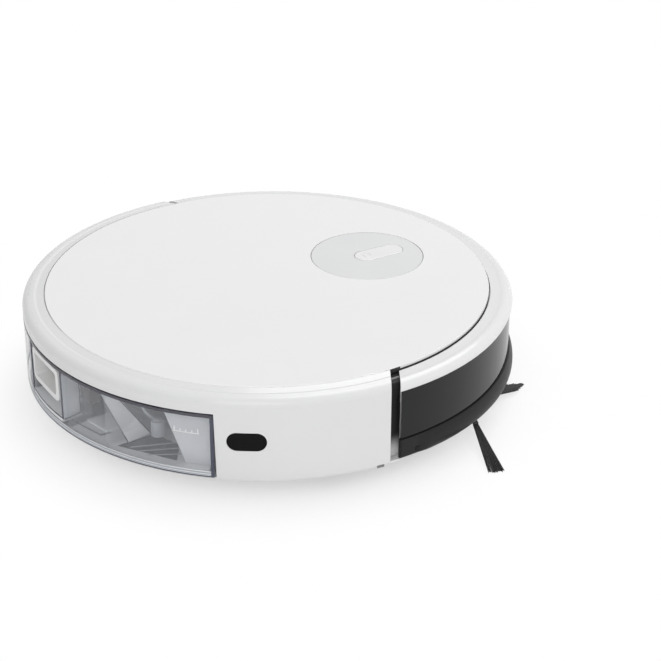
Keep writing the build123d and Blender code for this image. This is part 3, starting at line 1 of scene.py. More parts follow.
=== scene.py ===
# %% [markdown]
# # A robot vacuum cleaner
#
# This lesson dresses a finished construction model of a round robot vacuum cleaner.  The model comes in as a
# fixed frame: its nodes have their real size and place in metres, +Y is the driving direction and +Z is up.
# We give each node the finish of its real plastic, rubber or metal, and model by hand the pieces whose beauty
# is in fine detail.

# %% Load the frame
import math
import random

import bpy
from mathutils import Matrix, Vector


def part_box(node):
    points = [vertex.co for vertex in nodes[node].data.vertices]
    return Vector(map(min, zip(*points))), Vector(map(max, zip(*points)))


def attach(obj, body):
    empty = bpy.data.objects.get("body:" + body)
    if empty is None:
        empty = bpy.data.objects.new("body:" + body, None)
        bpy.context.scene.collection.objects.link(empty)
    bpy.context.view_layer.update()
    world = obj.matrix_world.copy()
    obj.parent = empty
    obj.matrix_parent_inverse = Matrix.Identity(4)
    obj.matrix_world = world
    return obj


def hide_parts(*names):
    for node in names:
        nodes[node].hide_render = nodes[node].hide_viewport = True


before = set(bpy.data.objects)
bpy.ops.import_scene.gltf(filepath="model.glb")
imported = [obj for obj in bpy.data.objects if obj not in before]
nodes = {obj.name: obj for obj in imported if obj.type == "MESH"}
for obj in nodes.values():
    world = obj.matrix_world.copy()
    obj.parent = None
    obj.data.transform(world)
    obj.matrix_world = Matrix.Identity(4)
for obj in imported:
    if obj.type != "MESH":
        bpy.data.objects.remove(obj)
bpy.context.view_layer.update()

# %% [markdown]
# The camera stands where someone would stand who looks down at the robot on the floor, a little behind its
# right side, and it uses a long lens so that the round body keeps its shape.  It could be aimed with a
# constraint, but two angles and a place say the same thing and stay readable.

# %% Camera
view_azimuth = math.radians(59.82)
view_elevation = math.radians(27.19)
camera_place = Vector((0.99326, -0.52812, 0.61492))
back = Vector((math.sin(view_azimuth) * math.cos(view_elevation),
               -math.cos(view_azimuth) * math.cos(view_elevation),
               math.sin(view_elevation)))
bpy.ops.object.camera_add(location=camera_place, rotation=back.to_track_quat("Z", "Y").to_euler())
camera = bpy.context.object
camera.data.lens = 100
camera.data.sensor_width = 36
camera.data.clip_start = 0.05
bpy.context.scene.camera = camera
bpy.context.scene.view_settings.view_transform = "Standard"
print("camera", [round(x, 3) for x in camera.location])

# %% [markdown]
# Shaders are built from nodes.  Three helpers keep a recipe short: one adds a node with its settings and
# inputs, one adds a ramp between two colours, and one makes a material and hands over the Principled shader
# in it.

# %% Helpers for shaders
def add_node(n, kind, inputs=None, **settings):
    """A new shader node with its settings and the values of its inputs."""
    node = n.new("ShaderNode" + kind)
    for setting, value in settings.items():
        setattr(node, setting, value)
    for socket, value in (inputs or {}).items():
        node.inputs[socket].default_value = value
    return node


def colour_ramp(n, first, last, places=(0.0, 1.0)):
    """A ramp from one colour to another between two values."""
    ramp = add_node(n, "ValToRGB")
    for element, colour, place in zip(ramp.color_ramp.elements, (first, last), places):
        element.position = place
        element.color = (*colour, 1)
    return ramp


def new_material(name, inputs):
    """A material, its nodes, its links and its Principled shader, with some inputs set."""
    mat = bpy.data.materials.new(name)
    mat.use_nodes = True
    n, links = mat.node_tree.nodes, mat.node_tree.links
    bsdf = n["Principled BSDF"]
    for socket, value in inputs.items():
        bsdf.inputs[socket].default_value = value
    return mat, n, links, bsdf


print("shader helpers ready")

# %% [markdown]
# A product like this is shown in a pale studio.  The world is a plain soft light from all sides, and two
# large soft lamps give it a direction.  From the robot's left the world is dimmer, which shades that side of
# the rim.  What the camera, a mirror or glass sees of the world is one even pale tone, so the dimming shows
# only in the light that falls on matt surfaces.

# %% Studio light
world = bpy.data.worlds.new("studio")
bpy.context.scene.world = world
world.use_nodes = True
wn, wl = world.node_tree.nodes, world.node_tree.links
wn.clear()
world_out = add_node(wn, "OutputWorld")
world_mix = add_node(wn, "MixShader")
direction = add_node(wn, "TexCoord")
left_and_back = (-0.93, -0.30, 0.20)
from_left = add_node(wn, "VectorMath", {1: left_and_back}, operation="DOT_PRODUCT")
dimmer = add_node(wn, "MapRange", {"From Min": 0.2, "From Max": 0.85, "To Min": 0.88, "To Max": 0.1},
                  interpolation_type="SMOOTHSTEP")
soft_light = add_node(wn, "Background", {"Color": (1.0, 1.0, 1.0, 1)})
seen_pale = add_node(wn, "Background", {"Color": (0.8, 0.8, 0.8, 1), "Strength": 1.0})
path = add_node(wn, "LightPath")
seen = add_node(wn, "Math", operation="MAXIMUM")
seen_any = add_node(wn, "Math", operation="MAXIMUM")
wl.new(direction.outputs["Generated"], from_left.inputs[0])
wl.new(from_left.outputs["Value"], dimmer.inputs["Value"])
wl.new(dimmer.outputs["Result"], soft_light.inputs["Strength"])
wl.new(path.outputs["Is Camera Ray"], seen.inputs[0])
wl.new(path.outputs["Is Glossy Ray"], seen.inputs[1])
wl.new(seen.outputs[0], seen_any.inputs[0])
wl.new(path.outputs["Is Transmission Ray"], seen_any.inputs[1])
wl.new(seen_any.outputs[0], world_mix.inputs["Fac"])
wl.new(soft_light.outputs[0], world_mix.inputs[1])
wl.new(seen_pale.outputs[0], world_mix.inputs[2])
wl.new(world_mix.outputs[0], world_out.inputs["Surface"])

for name, place, size, power in (("key_lamp", (-0.5, 0.9, 1.7), 1.4, 12.5),
                                 ("fill_lamp", (1.3, -1.0, 1.3), 1.2, 4.0)):
    aim = Vector(place).to_track_quat("Z", "Y").to_euler()
    bpy.ops.object.light_add(type="AREA", location=place, rotation=aim)
    lamp = bpy.context.object
    lamp.name = name
    lamp.data.shape = "DISK"
    lamp.data.size = size
    lamp.data.energy = power
    print(name, "power", power)

# %% [markdown]
# The floor is one large pale disc.  Close to the robot it is a plain matt surface that takes the robot's soft
# shadow, and further out it fades into the white of the studio.

# %% Floor
floor_r = 4.0
bpy.ops.object.select_all(action="DESELECT")
bpy.ops.mesh.primitive_circle_add(vertices=96, radius=floor_r, fill_type="NGON", location=(0, 0, 0))
floor = bpy.context.object
floor.name = "studio_floor"
floor_mat = bpy.data.materials.new("studio_floor")
floor_mat.use_nodes = True
fn, fl = floor_mat.node_tree.nodes, floor_mat.node_tree.links
fn.clear()
floor_out = add_node(fn, "OutputMaterial")
matt = add_node(fn, "BsdfDiffuse", {"Color": (0.93, 0.93, 0.93, 1)})
white = add_node(fn, "Emission", {"Strength": 1.0})
floor_mix = add_node(fn, "MixShader")
coords = add_node(fn, "TexCoord")
distance = add_node(fn, "VectorMath", operation="LENGTH")
fade = add_node(fn, "MapRange", {"From Min": 0.115, "From Max": 0.215, "To Min": 0.45, "To Max": 1.0},
                interpolation_type="SMOOTHSTEP")
light_path = add_node(fn, "LightPath")
camera_only = add_node(fn, "Math", operation="MULTIPLY")
fl.new(coords.outputs["Object"], distance.inputs[0])
fl.new(distance.outputs["Value"], fade.inputs["Value"])
fl.new(fade.outputs["Result"], camera_only.inputs[0])
fl.new(light_path.outputs["Is Camera Ray"], camera_only.inputs[1])
fl.new(camera_only.outputs[0], floor_mix.inputs["Fac"])
fl.new(matt.outputs[0], floor_mix.inputs[1])
fl.new(white.outputs[0], floor_mix.inputs[2])
fl.new(floor_mix.outputs[0], floor_out.inputs["Surface"])
floor.data.materials.append(floor_mat)
print("floor radius", floor_r)

# %% [markdown]
# Nearly every finish here is a moulded plastic.  A real moulding is never one flat colour: its pigment drifts
# a little over a hand's width, its gloss varies, and its surface has a fine texture from the polished or
# sparked mould.  One function builds such a material from noise in Object coordinates, and each finish gives
# it its own colour, gloss, grain size and grain depth.

# %% Moulded plastic
def moulded(name, colour, roughness, grain_mm=0.8, depth_mm=0.01, drift=0.015, coat=0.0, specular=0.5,
            gloss_range=0.05):
    """A moulded plastic: drifting pigment, uneven gloss and a fine grain."""
    mat, n, links, bsdf = new_material(name, {"Coat Weight": coat, "Coat Roughness": 0.06,
                                              "Specular IOR Level": specular})
    coords = add_node(n, "TexCoord")
    pigment = add_node(n, "TexNoise", {"Scale": 22, "Detail": 3})
    darker, lighter = [c * (1 - drift) for c in colour], [min(1.0, c * (1 + drift)) for c in colour]
    ramp = colour_ramp(n, darker, lighter, (0.3, 0.7))
    gloss = add_node(n, "TexNoise", {"Scale": 60, "Detail": 4})
    gloss_map = add_node(n, "MapRange", {"To Min": max(0.02, roughness - gloss_range),
                                         "To Max": roughness + gloss_range})
    grain = add_node(n, "TexNoise", {"Scale": 1000 / grain_mm, "Detail": 2})
    bump = add_node(n, "Bump", {"Strength": 0.6, "Distance": depth_mm / 1000})
    for texture in (pigment, gloss, grain):
        links.new(coords.outputs["Object"], texture.inputs["Vector"])
    links.new(pigment.outputs["Fac"], ramp.inputs["Fac"])
    links.new(ramp.outputs["Color"], bsdf.inputs["Base Color"])
    links.new(gloss.outputs["Fac"], gloss_map.inputs["Value"])
    links.new(gloss_map.outputs["Result"], bsdf.inputs["Roughness"])
    links.new(grain.outputs["Fac"], bump.inputs["Height"])
    links.new(bump.outputs["Normal"], bsdf.inputs["Normal"])
    return mat


lid_white = moulded("lid_white", (0.85, 0.85, 0.85), 0.32, grain_mm=1.2, depth_mm=0.006, drift=0.006)
shell_white = moulded("shell_white", (0.775, 0.777, 0.78), 0.22, grain_mm=2.0, depth_mm=0.004, drift=0.006,
                      coat=0.25)
disc_grey = moulded("disc_grey", (0.73, 0.735, 0.74), 0.4, grain_mm=0.7, depth_mm=0.01)
button_white = moulded("button_white", (0.82, 0.82, 0.82), 0.25, grain_mm=1.5, depth_mm=0.004)
base_white = moulded("base_white", (0.78, 0.78, 0.78), 0.45, grain_mm=0.9, depth_mm=0.03)
window_black = moulded("window_black", (0.006, 0.006, 0.007), 0.08, grain_mm=2.0, depth_mm=0.002,
                       specular=0.33, gloss_range=0.03)
eye_black = moulded("eye_black", (0.004, 0.004, 0.0045), 0.15, grain_mm=2.0, depth_mm=0.002, specular=0.12)
lip_black = moulded("lip_black", (0.022, 0.022, 0.023), 0.38, grain_mm=0.6, depth_mm=0.015, specular=0.16)
strip_black = moulded("strip_black", (0.018, 0.018, 0.018), 0.6, grain_mm=0.8, depth_mm=0.03)
inner_black = moulded("inner_black", (0.03, 0.03, 0.032), 0.5, grain_mm=0.8, depth_mm=0.03)
inner_grey = moulded("inner_grey", (0.10, 0.10, 0.11), 0.45, grain_mm=0.8, depth_mm=0.03)
hub_grey = moulded("hub_grey", (0.36, 0.37, 0.39), 0.4, grain_mm=0.9, depth_mm=0.02)
arm_black = moulded("arm_black", (0.035, 0.035, 0.037), 0.4, grain_mm=0.7, depth_mm=0.02)
flap_rubber = moulded("flap_rubber", (0.30, 0.32, 0.35), 0.7, grain_mm=0.5, depth_mm=0.03)
frame_white = moulded("frame_white", (0.83, 0.83, 0.83), 0.3, grain_mm=1.4, depth_mm=0.005)
slot_grey = moulded("slot_grey", (0.22, 0.22, 0.22), 0.6, grain_mm=0.8, depth_mm=0.02)
latch_grey = moulded("latch_grey", (0.50, 0.49, 0.47), 0.35, grain_mm=0.9, depth_mm=0.01)
tyre_rubber = moulded("tyre_rubber", (0.045, 0.045, 0.048), 0.75, grain_mm=0.4, depth_mm=0.05, specular=0.3)
battery_blue = moulded("battery_blue", (0.05, 0.14, 0.36), 0.25, grain_mm=2.5, depth_mm=0.05, coat=0.3)


def painted_light_towards_foot(mat, low, high, pale):
    """Paint light into a finish: a paler colour between two heights, the painted glow of stray light low in a
    gap.
    """
    n, links = mat.node_tree.nodes, mat.node_tree.links
    coords = next(x for x in n if x.type == "TEX_COORD")
    ramp = next(x for x in n if x.type == "VALTORGB")
    height = add_node(n, "SeparateXYZ")
    part = add_node(n, "MapRange", {"From Min": low, "From Max": high}, interpolation_type="SMOOTHSTEP")
    mix = add_node(n, "Mix", {6: (*pale, 1)}, data_type="RGBA")
    links.new(coords.outputs["Object"], height.inputs["Vector"])
    links.new(height.outputs["Z"], part.inputs["Value"])
    links.new(part.outputs["Result"], mix.inputs[0])
    links.new(ramp.outputs["Color"], mix.inputs[7])
    links.new(mix.outputs[2], n["Principled BSDF"].inputs["Base Color"])


# painted light: the black gap strips go paler towards their foot, for the stray light low in the gap
painted_light_towards_foot(strip_black, 0.0215, 0.035, (0.78, 0.78, 0.78))
print("materials so far", len(bpy.data.materials))

# %% [markdown]
# The dust bin is clear plastic with a smoky blue tint.  Pure glass keeps lamp light out of a closed box, so
# here the wall is partly see-through instead: light passes straight in, and what stays of the wall shows as a
# faint blue haze with its gloss.  Seen edge-on the wall is thicker, so its haze grows where it turns away
# from the eye.

# %% Clear plastic
def clear_plastic(name, tint, alpha_face, alpha_edge=0.85, roughness=0.06):
    """A clear moulding: a tinted haze that is thin face-on and dense edge-on, with a faint waviness."""
    mat, n, links, bsdf = new_material(name, {"IOR": 1.5, "Specular IOR Level": 0.8})
    wave_mm, edge_power = 6.0, 2.2
    coords = add_node(n, "TexCoord")
    streaks = add_node(n, "TexNoise", {"Scale": 30})
    ramp = colour_ramp(n, [c * 0.94 for c in tint], tint)
    haze = add_node(n, "MapRange", {"To Min": roughness * 0.5, "To Max": roughness * 1.6})
    wave = add_node(n, "TexNoise", {"Scale": 1000 / wave_mm, "Detail": 0})
    bump = add_node(n, "Bump", {"Strength": 0.2, "Distance": 0.0002})
    facing = add_node(n, "LayerWeight", {"Blend": 0.25})
    turned = add_node(n, "Math", {1: edge_power}, operation="POWER")
    alpha = add_node(n, "MapRange", {"To Min": alpha_face, "To Max": alpha_edge})
    links.new(facing.outputs["Facing"], turned.inputs[0])
    links.new(turned.outputs[0], alpha.inputs["Value"])
    links.new(alpha.outputs["Result"], bsdf.inputs["Alpha"])
    links.new(coords.outputs["Object"], streaks.inputs["Vector"])
    links.new(coords.outputs["Object"], wave.inputs["Vector"])
    links.new(streaks.outputs["Fac"], ramp.inputs["Fac"])
    links.new(ramp.outputs["Color"], bsdf.inputs["Base Color"])
    links.new(streaks.outputs["Fac"], haze.inputs["Value"])
    links.new(haze.outputs["Result"], bsdf.inputs["Roughness"])
    links.new(wave.outputs["Fac"], bump.inputs["Height"])
    links.new(bump.outputs["Normal"], bsdf.inputs["Normal"])
    return mat


bin_clear = clear_plastic("bin_clear", (0.84, 0.86, 0.91), alpha_face=0.10)
# painted shade: the bin's lid is a dark tint, so that its edge draws the shadowed gap under the shell's rim
painted_shade_lid = clear_plastic("painted_shade_lid", (0.07, 0.07, 0.09), alpha_face=0.75, alpha_edge=0.95)
print("clear plastics", bin_clear.name, painted_shade_lid.name)

# %% [markdown]
# Metals, circuit boards and filter paper each need their own pattern.  Turned steel has fine lines across its
# colour and gloss, a board has green lacquer over copper tracks, and folded filter paper is soft and fibrous.

# %% Metal, board and paper
def brushed_metal(name, colour, roughness, stretch=(1, 1, 40)):
    """A metal with fine machining lines."""
    mat, n, links, bsdf = new_material(name, {"Metallic": 1.0})
    coords = add_node(n, "TexCoord")
    mapping = add_node(n, "Mapping", {"Scale": stretch})
    lines = add_node(n, "TexNoise", {"Scale": 120, "Detail": 4})
    ramp = colour_ramp(n, [c * 0.88 for c in colour], colour)
    gloss = add_node(n, "MapRange", {"To Min": roughness * 0.7, "To Max": roughness * 1.4})
    bump = add_node(n, "Bump", {"Strength": 0.3, "Distance": 0.00002})
    links.new(coords.outputs["Object"], mapping.inputs["Vector"])
    links.new(mapping.outputs["Vector"], lines.inputs["Vector"])
    links.new(lines.outputs["Fac"], ramp.inputs["Fac"])
    links.new(ramp.outputs["Color"], bsdf.inputs["Base Color"])
    links.new(lines.outputs["Fac"], gloss.inputs["Value"])
    links.new(gloss.outputs["Result"], bsdf.inputs["Roughness"])
    links.new(lines.outputs["Fac"], bump.inputs["Height"])
    links.new(bump.outputs["Normal"], bsdf.inputs["Normal"])
    return mat


def board_green(name):
    """Green lacquer with copper tracks below it."""
    mat = moulded(name, (0.015, 0.11, 0.05), 0.3, grain_mm=1.0, depth_mm=0.01, coat=0.3)
    n, links = mat.node_tree.nodes, mat.node_tree.links
    coords = next(x for x in n if x.type == "TEX_COORD")
    tracks = add_node(n, "TexBrick", {"Scale": 180, "Color1": (0.012, 0.09, 0.04, 1),
                                      "Color2": (0.02, 0.14, 0.06, 1), "Mortar": (0.06, 0.24, 0.09, 1),
                                      "Mortar Size": 0.06})
    links.new(coords.outputs["Object"], tracks.inputs["Vector"])
    links.new(tracks.outputs["Color"], n["Principled BSDF"].inputs["Base Color"])
    return mat


def fibre_paper(name, colour):
    """Soft filter paper, with fibres and a patchy colour."""
    mat = moulded(name, colour, 0.9, grain_mm=0.35, depth_mm=0.12, drift=0.25, specular=0.2)
    mat.node_tree.nodes["Principled BSDF"].inputs["Sheen Weight"].default_value = 0.2
    return mat


steel = brushed_metal("steel", (0.60, 0.61, 0.63), 0.28)
contact_metal = brushed_metal("contact_metal", (0.83, 0.76, 0.60), 0.18, stretch=(40, 1, 1))
circuit_board = board_green("circuit_board")
filter_paper = fibre_paper("filter_paper", (0.028, 0.020, 0.017))
print("materials", len(bpy.data.materials))

# %% [markdown]
# Each carried node now takes the finish of the part it stands for.  A list by finish is shorter than a list
# by node, and the last line shows that none was left out.

# %% Dress the carried nodes
dressed = []


def dress(material, *names):
    """Give these carried nodes one finish."""
    for name in names:
        mesh = nodes[name].data
        mesh.materials.clear()
        mesh.materials.append(material)
        dressed.append(name)


dress(lid_white, "top_lid")
dress(shell_white, "upper_shell", "bumper_band")
dress(disc_grey, "control_disc")
dress(button_white, "power_button")
dress(base_white, "lower_chassis")
dress(window_black, "bumper_window", "cliff_windows")
dress(eye_black, "side_eye_window")
dress(lip_black, "bumper_lip")
dress(strip_black, "gap_strips")
dress(bin_clear, "bin_shell", "bin_ramp")
# painted shade: the dark bin lid stands for the shadow in the gap above the bin
dress(painted_shade_lid, "bin_lid")
dress(frame_white, "latch_frame")
dress(latch_grey, "latch_button")
dress(flap_rubber, "inlet_flap", "filler_plug")
dress(inner_grey, "filter_frame", "fan_impeller", "brush_motor", "brush_guard", "caster_cup", "speaker",
      "drive_motor_left", "drive_motor_right", "side_brush_motor_left", "side_brush_motor_right")
dress(inner_black, "fan_housing", "brush_housing", "brush_bearing", "drive_arm_left", "drive_arm_right",
      "caster_fork", "bump_switches", "battery_cover")
dress(filter_paper, "filter_pleats")
dress(steel, "fan_motor", "housing_screws", "bumper_springs", "suspension_pins", "suspension_springs",
      "caster_axle")
dress(contact_metal, "charging_contacts")
dress(circuit_board, "main_board", "control_board", "obstacle_sensors")
dress(battery_blue, "battery_pack")
dress(hub_grey, "wheel_hub_left", "wheel_hub_right")
dress(tyre_rubber, "tyre_left", "tyre_right", "caster_wheel")
dress(arm_black, "side_brush_hub_left", "side_brush_hub_right", "side_brush_tufts_left",
      "side_brush_tufts_right", "main_brush")
print("dressed", len(dressed), "left out", sorted(set(nodes) - set(dressed)))

# %% [markdown]
# The rest of the lesson models pieces by hand.  Every piece starts as a primitive at its size and place, is
# shaped in edit mode, and ends with its place in its mesh.  Small helpers keep that readable: they select a
# piece, open it, choose its faces or corners by place, push faces out, apply a modifier, copy, join and
# finish.  A class could hold them all, but plain functions are enough.

# %% Helpers for hand modelling
def only(piece):
    """Select one piece and nothing else."""
    if bpy.context.object and bpy.context.object.mode != "OBJECT":
        bpy.ops.object.mode_set(mode="OBJECT")
    bpy.ops.object.select_all(action="DESELECT")
    piece.select_set(True)
    bpy.context.view_layer.objects.active = piece


def settle(piece):
    """Put a piece's place, turn and size into its mesh."""
    only(piece)
    bpy.ops.object.transform_apply(location=True, rotation=True, scale=True)


def edit_all():
    """Edit mode with the whole mesh selected."""
    bpy.ops.object.mode_set(mode="EDIT")
    bpy.ops.mesh.select_all(action="SELECT")


def push(distance):
    """Extrude the selected faces along their normals."""
    bpy.ops.mesh.extrude_region_shrink_fatten(TRANSFORM_OT_shrink_fatten={"value": distance})


def modify(piece, kind, **settings):
    """Add one modifier and apply it."""
    change = piece.modifiers.new("change", kind)
    for setting, value in settings.items():
        setattr(change, setting, value)
    only(piece)
    bpy.ops.object.modifier_apply(modifier=change.name)


def choose(piece, kind, test):
    """In edit mode, select the corners, edges or faces that pass a test of their middle."""
    bpy.ops.mesh.select_mode(type={"vertices": "VERT", "edges": "EDGE", "polygons": "FACE"}[kind])
    bpy.ops.mesh.select_all(action="DESELECT")
    bpy.ops.object.mode_set(mode="OBJECT")
    points = piece.data.vertices
    for item in getattr(piece.data, kind):
        if kind == "vertices":
            middle = item.co
        else:
            middle = sum((points[i].co for i in item.vertices), Vector()) / len(item.vertices)
        item.select = test(middle)
    bpy.ops.object.mode_set(mode="EDIT")


def copy_of(piece):
    """A second piece with a mesh of its own."""
    twin = piece.copy()
    twin.data = piece.data.copy()
    bpy.context.collection.objects.link(twin)
    return twin


def joined(name, parts):
    """Join separate parts into one piece."""
    only(parts[0])
    for part in parts:
        part.select_set(True)
    bpy.ops.object.join()
    bpy.context.object.name = name
    return bpy.context.object


def complete(piece, material, body, smooth=35):
    """Normals outwards, smooth curved faces, a finish, a body to ride on and a material slot."""
    settle(piece)
    edit_all()
    bpy.ops.mesh.remove_doubles(threshold=0.000002)
    bpy.ops.mesh.normals_make_consistent(inside=False)
    bpy.ops.object.mode_set(mode="OBJECT")
    bpy.ops.object.shade_smooth_by_angle(angle=math.radians(smooth))
    piece.data.materials.clear()
    piece.data.materials.append(material)
    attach(piece, body)
    print(piece.name, len(piece.data.polygons), "faces")


mm = 0.001
print("helpers ready, one millimetre is", mm)

# %% [markdown]
# Several details are thin bars bent round the body: a dark strip in the lid's seam that paints the shade in
# that gap, the foot of the bin with its painted shadow, and a painted highlight on a bright edge.  Each is a
# plane stood up at its first angle and spun round the upright axis.  A curve with a bevel would give the same
# bar, but the spin keeps its section exactly square and needs no conversion.

# %% Bars bent round the body
def bent_bar(name, radii, heights, angles, steps, round_mm=0.0):
    """A square-edged bar from one angle to another round the body's axis, in mm and degrees."""
    first, last = math.radians(angles[0]), math.radians(angles[1])
    middle_r = (radii[0] + radii[1]) / 2 * mm
    place = (middle_r * math.cos(first), middle_r * math.sin(first), (heights[0] + heights[1]) / 2 * mm)
    bpy.ops.object.select_all(action="DESELECT")
    bpy.ops.mesh.primitive_plane_add(size=1, location=place, rotation=(math.pi / 2, 0, first))
    bar = bpy.context.object
    bar.name = name
    bar.scale = ((radii[1] - radii[0]) * mm, (heights[1] - heights[0]) * mm, 1)
    settle(bar)
    edit_all()
    if round_mm:
        bpy.ops.mesh.bevel(offset=round_mm * mm, segments=3, affect="VERTICES")
        bpy.ops.mesh.select_all(action="SELECT")
    bpy.ops.mesh.spin(steps=steps, angle=last - first, center=(0, 0, 0), axis=(0, 0, -1))
    bpy.ops.object.mode_set(mode="OBJECT")
    return bar


# painted shade: a dark strip in the seam round the lid, with taller ends in the notches by the bumper, stands
# for the shade in that gap
seam_shade_radii = (150.05, 150.3)
seam_shades = [bent_bar("lid_seam_shade", seam_shade_radii, (72.9, 74.3), (1.6, 178.4), 120)]
for angles in ((0.7, 4.7), (175.3, 179.3)):
    seam_shades.append(bent_bar("notch_shade", seam_shade_radii, (74.2, 75.7), angles, 6))
complete(joined("lid_seam_shade", seam_shades), inner_black, "chassis")
for hand, angles in (("right", (-1.6, 6.2)), ("left", (173.8, 181.6))):
    pad = bent_bar("gap_pad_" + hand, (147.5, 152.9), (71.28, 71.5), angles, 10)
    complete(pad, inner_black, "chassis")
slot_mark = bent_bar("drain_slot", (163.3, 163.7), (16.4, 18.2), (-4.1, -2.4), 6, round_mm=0.15)
complete(slot_mark, slot_grey, "chassis")

# %% [markdown]
# The power symbol is a ring with a gap and a short bar in it.  The ring starts as a torus, loses the faces
# round the gap, and has its two open ends closed.  It stands about a tenth of a millimetre proud, like a mark
# in thick ink.

# %% Power symbol on the button
symbol_y = 79.0 * mm
symbol_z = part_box("power_button")[1].z - 0.02 * mm
bpy.ops.object.select_all(action="DESELECT")
bpy.ops.mesh.primitive_torus_add(major_radius=2.7 * mm, minor_radius=0.38 * mm, major_segments=48,
                                 minor_segments=8, location=(0, symbol_y, symbol_z))
ring = bpy.context.object
ring.scale = (1, 1, 0.4)
settle(ring)
bpy.ops.object.mode_set(mode="EDIT")
choose(ring, "polygons", lambda p: p.y < symbol_y and abs(p.x) < 0.85 * mm)
bpy.ops.mesh.delete(type="FACE")
bpy.ops.mesh.select_all(action="SELECT")
bpy.ops.mesh.fill_holes(sides=16)
bpy.ops.object.mode_set(mode="OBJECT")
bpy.ops.object.select_all(action="DESELECT")
bpy.ops.mesh.primitive_cube_add(size=1, location=(0, symbol_y - 2.1 * mm, symbol_z))
stroke = bpy.context.object
stroke.scale = (0.7 * mm, 2.8 * mm, 0.3 * mm)
settle(stroke)
edit_all()
bpy.ops.mesh.bevel(offset=0.1 * mm, segments=2)
bpy.ops.object.mode_set(mode="OBJECT")
complete(joined("power_symbol", [ring, stroke]), disc_grey, "power_key")

# %% [markdown]
# The bumper's lower lip is a soft black moulding that swells outwards a little way ahead of its end, with a
# small dimple where the swelling starts.  The section is a plane with a divided outer side, spun a quarter
# turn round the body.  How far each corner stands out is then worked out from its angle and height, because a
# swelling that eases in ring by ring is easier to write as a formula than to pull by hand.  A mirror makes
# the left half.

# %% Lower lip of the bumper
lip_low, lip_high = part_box("bumper_lip")
lip_in_r, lip_out_r, lip_end_r = 162.4 * mm, 165.6 * mm, 168.0 * mm
lip_tall = lip_high.z - lip_low.z
lip_start = math.radians(1.45)
bpy.ops.object.select_all(action="DESELECT")
bpy.ops.mesh.primitive_plane_add(size=1, rotation=(math.pi / 2, 0, 0),
                                 location=((lip_in_r + lip_out_r) / 2, 0, (lip_low.z + lip_high.z) / 2))
lip = bpy.context.object
lip.scale = (lip_out_r - lip_in_r, lip_tall, 1)
settle(lip)
bpy.ops.object.mode_set(mode="EDIT")
choose(lip, "edges", lambda p: p.x > lip_out_r - 0.1 * mm)
bpy.ops.mesh.subdivide(number_cuts=13)
bpy.ops.object.mode_set(mode="OBJECT")
lip.rotation_euler.z = lip_start
settle(lip)
edit_all()
bpy.ops.mesh.spin(steps=236, angle=math.pi / 2 - lip_start, center=(0, 0, 0), axis=(0, 0, -1))
bpy.ops.object.mode_set(mode="OBJECT")
bulge_z = lip_low.z + 5.2 * mm
bulge_r = 0.35 * mm
swell_from, swell_over = 5.6, 3.0
tuck_deep, tuck_tall = 1.3 * mm, 1.6 * mm
dimple_angle, dimple_z = math.radians(5.75), lip_low.z + 4.4 * mm
dimple_r, dimple_deep = 2.6 * mm, 2.4 * mm
for corner in lip.data.vertices:
    radius, angle = math.hypot(corner.co.x, corner.co.y), math.atan2(corner.co.y, corner.co.x)
    if radius < lip_out_r - 0.1 * mm:
        continue
    eased = min(1.0, max(0.0, (math.degrees(angle) - swell_from) / swell_over))
    eased = eased * eased * (3 - 2 * eased)
    reach = (lip_high.z - bulge_z) if corner.co.z > bulge_z else (bulge_z - lip_low.z)
    crown = max(0.0, 1 - (abs(corner.co.z - bulge_z) / reach) ** 2.2)
    foot = tuck_deep * max(0.0, 1 - (corner.co.z - lip_low.z) / tuck_tall) ** 2
    away = math.hypot((angle - dimple_angle) * radius, corner.co.z - dimple_z) / dimple_r
    dimple = dimple_deep * (1 - away * away) ** 2 if away < 1 else 0.0
    swell = bulge_r + (lip_end_r - lip_out_r - bulge_r) * eased
    new_radius = lip_out_r + swell * crown - foot - dimple
    corner.co.x *= new_radius / radius
    corner.co.y *= new_radius / radius
modify(lip, "MIRROR", use_axis=(True, False, False), merge_threshold=0.01 * mm)
bpy.ops.object.mode_set(mode="EDIT")
choose(lip, "polygons", lambda p: abs(p.x) < 0.001 * mm)
bpy.ops.mesh.delete(type="FACE")
bpy.ops.object.mode_set(mode="OBJECT")
lip.name = "soft_lip"
complete(lip, lip_black, "bumper", smooth=40)
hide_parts("bumper_lip")

# %% [markdown]
# A side brush ends in tufts of stiff nylon bristles.  From a distance a tuft reads as a dark fan with a
# ragged tip.  One tapered five-sided bristle is made and copied into each tuft more than a hundred times.
# Every copy starts inside the arm and ends at its own place in the fan.  Use wears tufts unevenly, so one of
# the three has grown a point.  A hair system would need the renderer's help and could not be exported.

# %% Side brush bristles
hub_x, hub_y = 116.8 * mm, 81.3 * mm
arm_shift, arm_end, arm_reach = 5.2 * mm, 19.0 * mm, 69.4 * mm
bristle_count = 130
# each arm's angle in degrees, half the width of its fan, and how far the outermost bristles stop short
arms = ((-18.0, 5.1 * mm, 0.6 * mm), (102.0, 6.6 * mm, 13.0 * mm), (222.0, 5.4 * mm, 3.0 * mm))


def stretched(model, root, tip):
    """A copy of a bristle of unit length, from its root to its tip."""
    bristle = copy_of(model)
    bristle.location = (root + tip) / 2
    bristle.rotation_euler = (tip - root).to_track_quat("Z", "Y").to_euler()
    bristle.scale = (1, 1, (tip - root).length)
    return bristle


